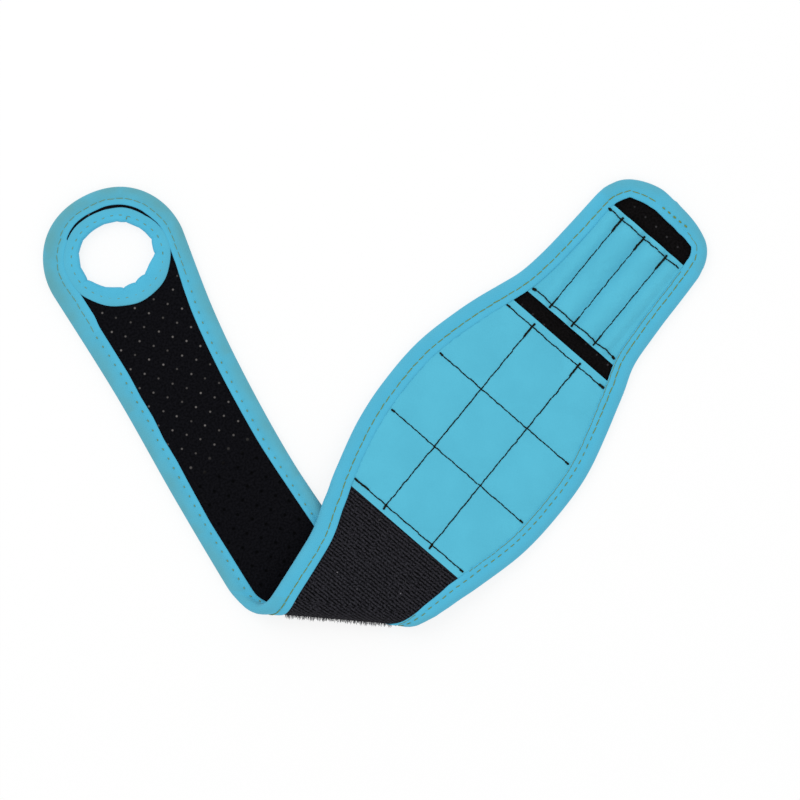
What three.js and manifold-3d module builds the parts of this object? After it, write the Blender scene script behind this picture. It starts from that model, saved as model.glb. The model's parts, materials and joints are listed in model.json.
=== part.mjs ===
// A soft magnetic wristband with a thumb loop, lying folded once on a table.
// Millimetres, +Z up, seen from above with the thumb loop at the upper left.
// A perforated lining carries a panel of magnet cells, a panel of open channels and a ribbed loop
// strip, and a folded tape binds the edge. The band is cut into segments at the lines where it bends.
import * as THREE from "three";
import { mergeVertices } from "three/addons/utils/BufferGeometryUtils.js";
import Module from "manifold-3d";

const wasm = await Module();
wasm.setup();

// Layers of the band
const LINING = 2.5;
const FACE = 0.9;
const TAPE = 0.7;
const CLEAR = 0.3;
const BINDING_WIDTH = 9.5;

// Wide panel: stations run along it from the lower row of stitches of the cell panel
const PANEL_ANGLE = 50.7;
const ROW_SKEW = 1.6;
const HEM = 4;
const ROW_1 = 38.5;
const ROW_2 = 75.8;
const CELLS_TOP = 116;
const SLOT = 8;
const CHANNEL_LENGTH = 62.5;
const TIP_LENGTH = 20.3;
const TIP_HALF = 33;
const TIP_SQUARENESS = 2.4;
// Half width at stations from the fold to the neck of the tip
const PANEL_EDGE = [
  [29, -85], [33, -50], [36, -31], [42, -15], [46.8, 0], [53, 25], [55, 50], [54, 75],
  [48.3, 100], [41.8, 120], [37.2, 134], [35.2, 150], [33.9, 170],
];

// Magnet cells and open channels
const COLUMN_PITCH = 30.2;
const CELL_CROWN = 1.6;
const CELL_MARGIN = 1.6;
const MAGNET_RADIUS = 9;
const MAGNET_THICK = 1.5;
const CHANNEL_PITCH = 14.4;
const CHANNEL_RISE = 3.3;

// Hook patch under the tip end
const HOOK_START = 142;

// Strap with the thumb loop: its own frame has the ring at the origin and runs down to the fold
const STRAP_ANGLE = 120.9;
const RING_PLACE = [-146.2, 134];
const RING_RADIUS = 36.4;
const RING_JOIN = -8;
const HOLE_PLACE = [1.1, 0.5];
const HOLE_WIDE = 19.2;
const HOLE_HIGH = 16.9;
const FACING_GAP = 1.3;
const STRAP_RIGHT = [[30, -232], [25.4, -160], [24.1, -125], [25.6, -82], [29.2, -46]];
const STRAP_LEFT = [[-35.8, -60], [-36.6, -120], [-36.6, -180], [-35, -235]];
const LOOP_BEND = 32;
const STRAP_BEND = 108;

// Fold: its outermost line, the lean of its two slats and the slope of the panel that comes off it
const FOLD_ANGLE = -5;
const FOLD_PLACE = [-37.8, -47.2];
const SLAT_LEAN = 60;
const RISE = 6.5;

// Bending backwards at a seam, which the groove over the seam has to allow
const BACK_BEND = 20;
const GROOVE_SPARE = 1;

// Steps of the curves
const RIM_STEPS = 56;
const ARC_STEPS = 28;
const HOLE_STEPS = 40;
const CELL_STEPS = 8;
const ARCH_STEPS = 8;
const TIP_STEPS = 9;

// Sizes that follow from those above
const THICK = 2 * TAPE + LINING + FACE + 3 * CLEAR;
const INNER_LOW = TAPE + CLEAR;
const PANEL_FACE_LOW = INNER_LOW + LINING + CLEAR;
const STRAP_LINING_LOW = INNER_LOW + FACE + CLEAR;
const LAYER_INSET = TAPE + CLEAR;
const FACING_RADIUS = RING_RADIUS - BINDING_WIDTH - FACING_GAP;
const CELLS_END = CELLS_TOP + HEM;
const CHANNEL_START = CELLS_END + SLOT;
const CHANNEL_END = CHANNEL_START + CHANNEL_LENGTH;
const TIP_END = CHANNEL_END + TIP_LENGTH;
const REACH = 900;
const DEEP = 60;
const WEB = 0.5;
const UP = new THREE.Vector3(0, 0, 1);

const rad = THREE.MathUtils.degToRad;
const v2 = (x, y) => new THREE.Vector2(x, y);
const v3 = (x, y, z) => new THREE.Vector3(x, y, z);

// Materials
const cloth = (color, roughness) => new THREE.MeshStandardMaterial({ color, roughness, metalness: 0 });
const blueCloth = cloth(0x50b7d9, 0.85);
const blueTape = cloth(0x4fb0d2, 0.8);
const liningCloth = cloth(0x16171b, 0.9);
const loopCloth = cloth(0x212126, 0.95);
const hookTape = cloth(0x1a1a1d, 0.7);
const magnetSteel = new THREE.MeshStandardMaterial({ color: 0xb9bcc0, roughness: 0.35, metalness: 1 });

// Solids

function toSolid(geometry) {
  const bare = geometry.clone();
  bare.deleteAttribute("normal");
  bare.deleteAttribute("uv");
  const merged = mergeVertices(bare, 1e-4);
  const vertProperties = merged.attributes.position.array;
  const triVerts = new Uint32Array(merged.index.array);
  return new wasm.Manifold(new wasm.Mesh({ numProp: 3, vertProperties, triVerts }));
}

function toGeometry(solid) {
  const mesh = solid.getMesh();
  const geometry = new THREE.BufferGeometry();
  geometry.setAttribute("position", new THREE.BufferAttribute(mesh.vertProperties, 3));
  geometry.setIndex(new THREE.BufferAttribute(mesh.triVerts, 1));
  geometry.computeVertexNormals();
  return geometry;
}

// A flat layer with the given outline and holes, between two heights.
function slab(outline, low, high, holes = []) {
  const shape = new THREE.Shape(outline);
  shape.holes = holes.map((hole) => new THREE.Path(hole));
  const geometry = new THREE.ExtrudeGeometry(shape, { depth: high - low, bevelEnabled: false });
  geometry.translate(0, 0, low);
  return toSolid(geometry);
}

// All of the space past a plane, on the side that its normal points to.
function beyond(point, normal) {
  const geometry = new THREE.BoxGeometry(REACH, REACH, REACH);
  geometry.translate(0, 0, REACH / 2);
  geometry.applyQuaternion(new THREE.Quaternion().setFromUnitVectors(UP, normal));
  geometry.translate(point.x, point.y, point.z);
  return toSolid(geometry);
}

const trim = (solid, cuts) => cuts.reduce((left, cut) => left.subtract(cut), solid);

function add(group, name, solid, material) {
  const mesh = new THREE.Mesh(toGeometry(solid), material);
  mesh.name = name;
  group.add(mesh);
}

// Outlines

// A line of points moved sideways to its left by a distance.
function inset(points, distance) {
  return points.map((point, i) => {
    const before = points[Math.max(i - 1, 0)];
    const after = points[Math.min(i + 1, points.length - 1)];
    const along = after.clone().sub(before).normalize();
    return v2(point.x - along.y * distance, point.y + along.x * distance);
  });
}

const insetShape = (edges, distance) => edges.flatMap((edge) => inset(edge, distance));

// The folded tape along each edge: a channel section that takes the other layers between its lips.
function bindings(edges) {
  const hollow = slab(insetShape(edges, TAPE), TAPE, THICK - TAPE);
  return edges.map((edge) => {
    const band = edge.concat(inset(edge, BINDING_WIDTH).reverse());
    return slab(band, 0, THICK).subtract(hollow);
  });
}

const spline = (points, steps) =>
  new THREE.SplineCurve(points.map(([x, y]) => v2(x, y))).getSpacedPoints(steps);

function panelRim() {
  const corner = [];
  for (let i = 0; i < TIP_STEPS; i += 1) {
    const turn = (i / TIP_STEPS) * (Math.PI / 2);
    const power = 2 / TIP_SQUARENESS;
    const x = TIP_HALF * Math.cos(turn) ** power;
    corner.push([x, CHANNEL_END + TIP_LENGTH * Math.sin(turn) ** power]);
  }
  const right = spline([...PANEL_EDGE, ...corner], RIM_STEPS);
  const left = right.map((p) => v2(-p.x, p.y)).reverse();
  return [...right, v2(0, TIP_END), ...left];
}

function strapRim() {
  const from = rad(RING_JOIN);
  const arc = [];
  for (let i = 0; i <= ARC_STEPS; i += 1) {
    const turn = from + ((Math.PI - from) * i) / ARC_STEPS;
    arc.push(v2(RING_RADIUS * Math.cos(turn), RING_RADIUS * Math.sin(turn)));
  }
  const right = spline([...STRAP_RIGHT, arc[0].toArray()], RIM_STEPS / 2);
  const left = spline([arc.at(-1).toArray(), ...STRAP_LEFT], RIM_STEPS / 2);
  return [...right.slice(0, -1), ...arc, ...left.slice(1)];
}

// The thumb hole, level with the table's axes, grown by a distance.
function thumbHole(grown) {
  const curve = new THREE.EllipseCurve(
    ...HOLE_PLACE, HOLE_WIDE + grown, HOLE_HIGH + grown, 0, 2 * Math.PI, false, -strapTurn,
  );
  return curve.getPoints(HOLE_STEPS).slice(0, -1);
}

// Frames of the strap, the flat part of the panel and its sloping part

const panelTurn = rad(PANEL_ANGLE) - Math.PI / 2;
const strapTurn = rad(STRAP_ANGLE) - Math.PI / 2;
const rowAlong = v3(Math.cos(rad(ROW_SKEW)), -Math.sin(rad(ROW_SKEW)), 0);
const rowAcross = v3(Math.sin(rad(ROW_SKEW)), Math.cos(rad(ROW_SKEW)), 0);

const layout = new THREE.Group();
const panel = new THREE.Group();
panel.rotation.z = panelTurn;
const slope = new THREE.Group();
slope.position.set(0, ROW_1, 0);
slope.quaternion.setFromAxisAngle(rowAlong, -rad(RISE));
const slopeContents = new THREE.Group();
slopeContents.position.set(0, -ROW_1, 0);
slope.add(slopeContents);
panel.add(slope);
const strap = new THREE.Group();
strap.position.set(...RING_PLACE, 0);
strap.rotation.z = strapTurn;
layout.add(panel, strap);
layout.updateMatrixWorld(true);

// Seams: a line across a flat part where it bends, with a groove that opens on the front

// What a seam takes off the segment on one side of it, 1 for past the seam and -1 for before it.
function seamCut(seam, side) {
  const lean = rad(seam.groove / 2) * side;
  const across = seam.across;
  const normal = across.clone().multiplyScalar(-side * Math.cos(lean));
  normal.addScaledVector(UP, seam.opens * Math.sin(Math.abs(lean)));
  const point = v3(0, seam.station, seam.height).addScaledVector(across, (side * CLEAR) / 2);
  return beyond(point, normal.normalize());
}

const panelSeam = (station, kink = 0) => ({
  station, across: rowAcross, height: 0, opens: 1, groove: BACK_BEND + kink + GROOVE_SPARE,
});
const strapSeam = (station) => ({
  station, across: v3(0, 1, 0), height: THICK, opens: -1, groove: BACK_BEND + GROOVE_SPARE,
});
const seams = {
  hem: panelSeam(-HEM - CLEAR),
  row1: panelSeam(ROW_1, RISE),
  row2: panelSeam(ROW_2),
  slot: panelSeam(CELLS_END + SLOT / 2),
  tip: panelSeam(CHANNEL_END + CLEAR),
  strap: strapSeam(-STRAP_BEND),
  loop: strapSeam(-LOOP_BEND),
};

// Fold: three hinge lines on the front of the band, on a cone between the strap and the slope

const foldAlong = v3(Math.cos(rad(FOLD_ANGLE)), Math.sin(rad(FOLD_ANGLE)), 0);
const foldOut = v3(foldAlong.y, -foldAlong.x, 0);
const foldMiddle = v3(...FOLD_PLACE, 0);
const slopeFront = slopeContents.localToWorld(v3(0, 0, THICK));
const slopeNormal = UP.clone().transformDirection(slopeContents.matrixWorld);
const slopeTilt = -foldOut.dot(slopeNormal) / slopeNormal.z;

// The three corners of the fold's section at a place along the fold.
function foldCorners(along) {
  const base = foldMiddle.clone().addScaledVector(foldAlong, along);
  const flat = slopeFront.clone().sub(base);
  const height = slopeFront.z + (slopeNormal.x * flat.x + slopeNormal.y * flat.y) / slopeNormal.z;
  const reach = Math.cos(rad(SLAT_LEAN));
  const climb = Math.sin(rad(SLAT_LEAN));
  const side = height / (2 * climb + reach * slopeTilt);
  const corner = (out, up) => base.clone().addScaledVector(foldOut, out * side).setZ(up * side);
  return [corner(-reach, 0), corner(0, climb), corner(-reach, 2 * climb)];
}

// Where a rim, given from above, crosses one of the fold's lines: the place along the fold.
function foldCrossing(rim, line) {
  const beyondLine = rim.map((point) => {
    const along = point.clone().sub(foldMiddle).dot(foldAlong);
    const corner = foldCorners(along)[line];
    return { along, past: point.clone().sub(corner).dot(foldOut) };
  });
  const last = beyondLine.findIndex(({ past }) => past < 0);
  const [a, b] = [beyondLine[last - 1], beyondLine[last]];
  return a.along + ((b.along - a.along) * a.past) / (a.past - b.past);
}

const panelRimPoints = panelRim();
const strapRimPoints = strapRim();
const fromAbove = (points, group) =>
  points.map((p) => group.localToWorld(v3(p.x, p.y, THICK)).setZ(0));
const slopeRim = fromAbove(panelRimPoints, slopeContents);
const strapTop = fromAbove(strapRimPoints, strap);

// Places along the fold of the band's left and right edges at each hinge line.
function foldEnds(strapSide, panelSide) {
  const first = foldCrossing(strapSide, 0);
  const last = foldCrossing(panelSide, 2);
  return [first, (first + last) / 2, last];
}
const rightEnds = foldEnds(strapTop, slopeRim);
const leftEnds = foldEnds(strapTop.toReversed(), slopeRim.toReversed());
const foldLines = [0, 1, 2].map((line) => ({
  left: foldCorners(leftEnds[line])[line],
  right: foldCorners(rightEnds[line])[line],
}));

// One flat slat of the fold, framed with its front at the bottom and the strap's side upwards.
function slatFrame(near, far) {
  const x = far.right.clone().sub(far.left).normalize();
  const y = near.left.clone().sub(far.left);
  y.addScaledVector(x, -y.dot(x)).normalize();
  const group = new THREE.Group();
  group.quaternion.setFromRotationMatrix(new THREE.Matrix4().makeBasis(x, y, x.clone().cross(y)));
  group.position.copy(far.left);
  layout.add(group);
  group.updateMatrixWorld(true);
  const place = (point) => {
    const local = group.worldToLocal(point.clone());
    return v2(local.x, local.y);
  };
  const edges = [
    [place(far.right), place(near.right)],
    [place(near.left), place(far.left)],
  ];
  return { group, edges };
}
const slats = [slatFrame(foldLines[0], foldLines[1]), slatFrame(foldLines[1], foldLines[2])];

// The mitre that a fold line puts on the body in a group, away from its neighbour.
const inward = (group, sign) => v3(0, 0, sign).transformDirection(group.matrixWorld);
const foldBodies = [
  { group: strap, inner: inward(strap, 1) },
  { group: slats[0].group, inner: inward(slats[0].group, 1) },
  { group: slats[1].group, inner: inward(slats[1].group, 1) },
  { group: slopeContents, inner: inward(slopeContents, -1) },
];
function foldCut(body, line) {
  const here = foldBodies[body];
  const other = foldBodies[body === line ? line + 1 : line];
  const along = foldLines[line].right.clone().sub(foldLines[line].left).normalize();
  const halfway = here.inner.clone().add(other.inner).normalize();
  const normal = along.clone().cross(halfway).normalize();
  if (normal.dot(other.inner.clone().sub(here.inner)) > 0) normal.negate();
  const point = foldLines[line].left.clone().addScaledVector(normal, -CLEAR / 2);
  const back = here.group.matrixWorld.clone().invert();
  return beyond(point.applyMatrix4(back), normal.transformDirection(back));
}

// Layers of the panel

const panelEdges = [panelRimPoints];
const panelInner = insetShape(panelEdges, LAYER_INSET);
const halfWidthAt = (station) => {
  const at = panelRimPoints.findIndex((p) => p.y >= station);
  const [a, b] = [panelRimPoints[at - 1], panelRimPoints[at]];
  return a.x + ((b.x - a.x) * (station - a.y)) / (b.y - a.y);
};

// Everything between two stations, along the rows.
function between(low, high) {
  const at = (x, station) => {
    const point = rowAlong.clone().multiplyScalar(x);
    return v2(point.x, point.y + station);
  };
  const wide = REACH / 4;
  return slab([at(-wide, low), at(wide, low), at(wide, high), at(-wide, high)], -DEEP, DEEP);
}

const panelLining = slab(panelInner, INNER_LOW, INNER_LOW + LINING);
const panelFace = slab(panelInner, PANEL_FACE_LOW, PANEL_FACE_LOW + FACE);
const [panelBinding] = bindings(panelEdges);

// A crowned cell over four corners, which starts inside the face layer.
function crownedCell(corners) {
  const low = PANEL_FACE_LOW + FACE - CLEAR;
  const swell = (t) => Math.sqrt(Math.sin(Math.PI * t));
  const points = [];
  const count = CELL_STEPS + 1;
  for (const top of [true, false]) {
    for (let i = 0; i < count; i += 1) {
      for (let j = 0; j < count; j += 1) {
        const [a, b] = [i / CELL_STEPS, j / CELL_STEPS];
        const lower = corners[0].clone().lerp(corners[1], a);
        const upper = corners[3].clone().lerp(corners[2], a);
        const flat = lower.lerp(upper, b);
        const crown = (CLEAR / 2) + CELL_CROWN * swell(a) * swell(b);
        points.push(flat.x, flat.y, top ? low + crown : low - CLEAR);
      }
    }
  }
  const at = (layer, i, j) => layer * count * count + i * count + j;
  const faces = [];
  const quad = (a, b, c, d) => faces.push(a, b, c, a, c, d);
  for (let i = 0; i < CELL_STEPS; i += 1) {
    for (let j = 0; j < CELL_STEPS; j += 1) {
      quad(at(0, i, j), at(0, i + 1, j), at(0, i + 1, j + 1), at(0, i, j + 1));
      quad(at(1, i, j), at(1, i, j + 1), at(1, i + 1, j + 1), at(1, i + 1, j));
    }
    const n = CELL_STEPS;
    quad(at(1, i, 0), at(1, i + 1, 0), at(0, i + 1, 0), at(0, i, 0));
    quad(at(1, i + 1, n), at(1, i, n), at(0, i, n), at(0, i + 1, n));
    quad(at(1, 0, i + 1), at(1, 0, i), at(0, 0, i), at(0, 0, i + 1));
    quad(at(1, n, i), at(1, n, i + 1), at(0, n, i + 1), at(0, n, i));
  }
  const geometry = new THREE.BufferGeometry();
  geometry.setAttribute("position", new THREE.Float32BufferAttribute(points, 3));
  geometry.setIndex(faces);
  return toSolid(geometry);
}

// Left and right limits of a column of cells at a station: -1, 0 or 1 from left to right.
function columnSpan(column, station) {
  const outer = halfWidthAt(station) - BINDING_WIDTH - CELL_MARGIN;
  const seam = COLUMN_PITCH / 2;
  if (column === 0) return [-seam + CELL_MARGIN, seam - CELL_MARGIN];
  const span = [seam + CELL_MARGIN, outer];
  return column > 0 ? span : [-span[1], -span[0]];
}

function cellCorners(column, low, high) {
  const [lowLeft, lowRight] = columnSpan(column, low);
  const [highLeft, highRight] = columnSpan(column, high);
  const at = (x, station) => v2(x, station - x * Math.tan(rad(ROW_SKEW)));
  return [at(lowLeft, low), at(lowRight, low), at(highRight, high), at(highLeft, high)];
}

const disc = (radius, low, high, centre) => {
  const geometry = new THREE.CylinderGeometry(radius, radius, high - low, 32);
  geometry.rotateX(Math.PI / 2);
  geometry.translate(centre.x, centre.y, (low + high) / 2);
  return toSolid(geometry);
};

const cuts = (pairs) => pairs.map(([seam, side]) => seamCut(seams[seam], side));
const leftHalf = beyond(v3(0, 0, 0), v3(1, 0, 0));
const rightHalf = beyond(v3(0, 0, 0), v3(-1, 0, 0));

function addBindingPair(group, name, binding, limits) {
  add(group, `${name}_binding_left`, trim(binding, [...limits, leftHalf]), blueTape);
  add(group, `${name}_binding_right`, trim(binding, [...limits, rightHalf]), blueTape);
}

// One row of three magnet cells: lining with magnet pockets, crowned face, tape and magnets.
function addRow(group, name, faceSpan, cellSpan, limits) {
  const columns = [-1, 0, 1];
  const cells = columns.map((column) => cellCorners(column, ...cellSpan));
  const centres = cells.map((corners) => {
    const sum = corners.reduce((total, corner) => total.add(corner), v2(0, 0));
    return sum.divideScalar(corners.length);
  });
  const magnetHigh = INNER_LOW + LINING - CLEAR;
  const magnetLow = magnetHigh - MAGNET_THICK;
  const pocketRadius = MAGNET_RADIUS + CLEAR;
  const pockets = centres.map((c) => disc(pocketRadius, magnetLow - CLEAR, THICK, c));
  add(group, `${name}_lining`, trim(trim(panelLining, pockets), limits), liningCloth);
  const crowns = cells.map(crownedCell);
  const flat = panelFace.intersect(between(...faceSpan));
  const face = crowns.reduce((whole, crown) => whole.add(crown), flat);
  add(group, `${name}_face`, trim(face, limits), blueCloth);
  addBindingPair(group, name, panelBinding, limits);
  ["left", "middle", "right"].forEach((side, i) => {
    const magnet = disc(MAGNET_RADIUS, magnetLow, magnetHigh, centres[i]);
    add(group, `${name}_magnet_${side}`, magnet, magnetSteel);
  });
}

// The channel panel: a sheet that is sewn down at the seams and arches between them.
function channelPanel() {
  const outer = TIP_HALF - BINDING_WIDTH - CLEAR;
  const seamsAt = [-outer, -CHANNEL_PITCH, 0, CHANNEL_PITCH, outer];
  const under = [v2(-REACH / 4, 0)];
  for (let channel = 0; channel < seamsAt.length - 1; channel += 1) {
    const [a, b] = [seamsAt[channel], seamsAt[channel + 1]];
    const rise = CHANNEL_RISE * Math.min(1, (b - a) / CHANNEL_PITCH);
    const land = WEB;
    for (let i = 0; i <= ARCH_STEPS; i += 1) {
      const t = (2 * i) / ARCH_STEPS - 1;
      const x = (a + b) / 2 + t * ((b - a) / 2 - land);
      under.push(v2(x, rise * (1 - t * t)));
    }
  }
  under.push(v2(REACH / 4, 0));
  const over = under.map((p) => v2(p.x, p.y + FACE)).reverse();
  const shape = new THREE.Shape([...under, ...over]);
  const geometry = new THREE.ExtrudeGeometry(shape, { depth: REACH / 4, bevelEnabled: false });
  geometry.rotateX(Math.PI / 2);
  geometry.translate(0, TIP_END, PANEL_FACE_LOW);
  const inside = slab(panelInner, 0, DEEP);
  return toSolid(geometry).intersect(inside).intersect(between(CHANNEL_START, CHANNEL_END));
}

// The hook patch fills the underside of the tip end between the lips of the tape.
function hookPatch() {
  const outline = insetShape(panelEdges, BINDING_WIDTH + CLEAR);
  return slab(outline, 0, TAPE).intersect(between(HOOK_START, TIP_END));
}

function buildPanel() {
  const channelCuts = cuts([["slot", 1], ["tip", -1]]);
  add(panel, "channels_lining", trim(panelLining, channelCuts), liningCloth);
  add(panel, "channels_face", trim(channelPanel(), channelCuts), blueCloth);
  addBindingPair(panel, "channels", panelBinding, channelCuts);
  const tipCuts = cuts([["tip", 1]]);
  add(panel, "tip_lining", trim(panelLining, tipCuts), liningCloth);
  add(panel, "tip_binding", trim(panelBinding, tipCuts), blueTape);
  add(panel, "hook_patch", trim(hookPatch(), channelCuts), hookTape);
  add(panel, "tip_hook_patch", trim(hookPatch(), tipCuts), hookTape);
  const upper = [ROW_2 + CELL_MARGIN, CELLS_TOP - CELL_MARGIN];
  addRow(panel, "upper_row", [ROW_2, CELLS_END], upper, cuts([["row2", 1], ["slot", -1]]));
  const middle = [ROW_1 + CELL_MARGIN, ROW_2 - CELL_MARGIN];
  addRow(panel, "middle_row", [ROW_1, ROW_2], middle, cuts([["row1", 1], ["row2", -1]]));
}

// The lower row and the loop strip below it slope up to the fold.
function buildSlope() {
  const lower = [CELL_MARGIN, ROW_1 - CELL_MARGIN];
  addRow(slopeContents, "lower_row", [-HEM, ROW_1], lower, cuts([["hem", 1], ["row1", -1]]));
  const patchCuts = [...cuts([["hem", -1]]), foldCut(3, 2)];
  add(slopeContents, "loop_patch_lining", trim(panelLining, patchCuts), liningCloth);
  add(slopeContents, "loop_patch_face", trim(panelFace, patchCuts), loopCloth);
  addBindingPair(slopeContents, "loop_patch", panelBinding, patchCuts);
}

// Strap, thumb loop and slats: the lining is on the upper, inner side

const strapLining = (edges, holes) =>
  slab(insetShape(edges, LAYER_INSET), STRAP_LINING_LOW, STRAP_LINING_LOW + LINING, holes);
const strapFace = (edges, holes) =>
  slab(insetShape(edges, LAYER_INSET), INNER_LOW, INNER_LOW + FACE, holes);

// The facing round the thumb hole, folded over the hole's edge like the tape on the rim.
function holeBinding() {
  const ring = (radius) => {
    const circle = new THREE.EllipseCurve(...HOLE_PLACE, radius, radius, 0, 2 * Math.PI);
    return circle.getPoints(HOLE_STEPS).slice(0, -1);
  };
  const whole = slab(ring(FACING_RADIUS), 0, THICK, [thumbHole(0)]);
  const room = slab(ring(2 * FACING_RADIUS), TAPE, THICK - TAPE, [thumbHole(TAPE)]);
  return whole.subtract(room);
}

function buildStrap() {
  const edges = [strapRimPoints];
  const holes = [thumbHole(LAYER_INSET)];
  const lining = strapLining(edges, holes);
  const face = strapFace(edges, holes);
  const facing = holeBinding();
  const facingRoom = disc(FACING_RADIUS + CLEAR, -DEEP, DEEP, v2(...HOLE_PLACE));
  const binding = bindings(edges)[0].subtract(facingRoom);
  const loopCuts = cuts([["loop", 1]]);
  add(strap, "thumb_loop_lining", trim(lining, loopCuts), liningCloth);
  add(strap, "thumb_loop_face", trim(face, loopCuts), loopCloth);
  add(strap, "thumb_loop_binding", trim(binding, loopCuts), blueTape);
  add(strap, "thumb_hole_binding", trim(facing, loopCuts), blueTape);
  const spans = {
    outer_strap: cuts([["loop", -1], ["strap", 1]]),
    inner_strap: [...cuts([["strap", -1]]), foldCut(0, 0)],
  };
  for (const [name, limits] of Object.entries(spans)) {
    add(strap, `${name}_lining`, trim(lining, limits), liningCloth);
    add(strap, `${name}_face`, trim(face, limits), loopCloth);
    addBindingPair(strap, name, binding, limits);
  }
}

function buildFold() {
  slats.forEach(({ group, edges }, i) => {
    const name = ["lower_fold", "upper_fold"][i];
    const limits = [foldCut(i + 1, i), foldCut(i + 1, i + 1)];
    const [right, left] = bindings(edges);
    add(group, `${name}_lining`, trim(strapLining(edges), limits), liningCloth);
    add(group, `${name}_face`, trim(strapFace(edges), limits), loopCloth);
    add(group, `${name}_binding_left`, trim(left, limits), blueTape);
    add(group, `${name}_binding_right`, trim(right, limits), blueTape);
  });
}

buildPanel();
buildSlope();
buildStrap();
buildFold();

// The origin is under the middle of the band, on the table.
const bounds = new THREE.Box3().setFromObject(layout, true);
const middle = bounds.getCenter(v3(0, 0, 0));
layout.position.set(-middle.x, -middle.y, -bounds.min.z);

const band = new THREE.Group();
band.name = "magnetic_wristband";
band.add(layout);
band.updateMatrixWorld(true);

// Hinge lines, in the band's frame: a point and the direction of each.
const toBand = (point) => point.clone().add(layout.position);
const seamLine = (group, seam, along) => ({
  point: group.localToWorld(v3(0, seam.station, seam.height)),
  along: along.clone().transformDirection(group.matrixWorld),
});
const across = v3(1, 0, 0);
band.userData.hinges = {
  loop: seamLine(strap, seams.loop, across),
  strap: seamLine(strap, seams.strap, across),
  fold: foldLines.map(({ left, right }) => ({
    point: toBand(left), along: right.clone().sub(left).normalize(),
  })),
  foldInner: foldBodies.map(({ inner }) => inner),
  hem: seamLine(slopeContents, seams.hem, rowAlong),
  row1: seamLine(panel, seams.row1, rowAlong),
  row2: seamLine(panel, seams.row2, rowAlong),
  slot: seamLine(panel, seams.slot, rowAlong),
  tip: seamLine(panel, seams.tip, rowAlong),
};

export default band;
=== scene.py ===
"""Looks of a soft magnetic wristband with a thumb loop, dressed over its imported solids.

The band is one long strip, described by flat patterns: a panel and a strap that a rounded fold joins. Each
layer (lining, faces, edge tape, thread) is laid out on those patterns and then placed in space, one piece
for each bend of the band. Lengths are in millimetres until a mesh is made, and angles are in degrees.
"""

from __future__ import annotations

import json
import logging
import math
from contextlib import contextmanager
from dataclasses import dataclass, field
from enum import Enum
from typing import Callable, Iterator

import bpy
import numpy as np
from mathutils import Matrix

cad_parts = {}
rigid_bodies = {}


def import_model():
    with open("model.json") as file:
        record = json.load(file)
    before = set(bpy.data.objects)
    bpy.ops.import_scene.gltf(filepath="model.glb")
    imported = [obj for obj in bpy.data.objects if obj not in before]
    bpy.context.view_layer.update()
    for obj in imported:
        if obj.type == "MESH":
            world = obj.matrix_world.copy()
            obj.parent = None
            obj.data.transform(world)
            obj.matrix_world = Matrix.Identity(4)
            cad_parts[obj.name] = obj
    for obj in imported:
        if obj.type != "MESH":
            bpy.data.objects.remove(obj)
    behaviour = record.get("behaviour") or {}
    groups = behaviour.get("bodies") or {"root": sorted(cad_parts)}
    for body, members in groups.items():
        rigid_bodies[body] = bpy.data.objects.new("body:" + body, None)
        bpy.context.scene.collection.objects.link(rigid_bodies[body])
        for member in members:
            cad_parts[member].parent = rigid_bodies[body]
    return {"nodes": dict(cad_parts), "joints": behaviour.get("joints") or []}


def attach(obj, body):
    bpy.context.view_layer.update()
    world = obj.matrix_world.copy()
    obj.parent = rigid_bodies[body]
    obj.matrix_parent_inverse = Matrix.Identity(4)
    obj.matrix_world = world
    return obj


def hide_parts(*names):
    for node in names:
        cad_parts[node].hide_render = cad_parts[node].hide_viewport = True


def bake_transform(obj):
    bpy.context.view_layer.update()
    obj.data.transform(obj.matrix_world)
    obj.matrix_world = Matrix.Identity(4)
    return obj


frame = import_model()

LOG = logging.getLogger("wristband")
MM = 0.001
UV_PER_MM = 0.01
PATTERN = "pattern"
Array = np.ndarray
Piece = bpy.types.Object
Material = bpy.types.Material
Socket = bpy.types.NodeSocket
Colour = tuple[float, float, float, float]
Pair = tuple[float, float]
Marks = tuple[Pair, ...]
Stitch = tuple[float, float, float]
Depth = Callable[["Chart", Array], Array | float]


def linear(red: int, green: int, blue: int) -> Colour:
    """Turn a display colour of 0 to 255 into the linear colour that a shader takes."""
    steps = [value / 255 for value in (red, green, blue)]
    lit = [step / 12.92 if step <= 0.04045 else ((step + 0.055) / 1.055) ** 2.4 for step in steps]
    return (lit[0], lit[1], lit[2], 1.0)


def polar(turns: Array | float) -> Array:
    """Give the unit vectors in the plane at angles in radians."""
    return np.stack([np.cos(turns), np.sin(turns)], axis=-1)


def heading(angle: float) -> Array:
    """Give the unit vector in the plane at an angle in degrees."""
    return polar(math.radians(angle))


def ease(value: Array) -> Array:
    """Rise smoothly from 0 to 1 as a value goes from 0 to 1."""
    held = np.clip(value, 0.0, 1.0)
    return held * held * (3.0 - 2.0 * held)


def unit(vectors: Array) -> Array:
    """Scale each row of an array of vectors to length 1."""
    return vectors / np.maximum(np.linalg.norm(vectors, axis=-1, keepdims=True), 1e-9)


def run_along(points: Array) -> Array:
    """Measure how far along a line each of its points lies."""
    return np.concatenate([[0.0], np.cumsum(np.linalg.norm(np.diff(points, axis=0), axis=1))])


def read_along(at: Array, run: Array, values: Array) -> Array:
    """Interpolate rows of values at lengths along a line whose own lengths are given."""
    return np.stack([np.interp(at, run, column) for column in values.T], axis=-1)


def cubic(start: Array, stop: Array, lead: Array, trail: Array) -> Array:
    """Give the factors of a cubic from its two ends and the slopes there, highest power first."""
    return np.array([2 * start - 2 * stop + lead + trail, 3 * stop - 3 * start - 2 * lead - trail, lead, start])


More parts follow.
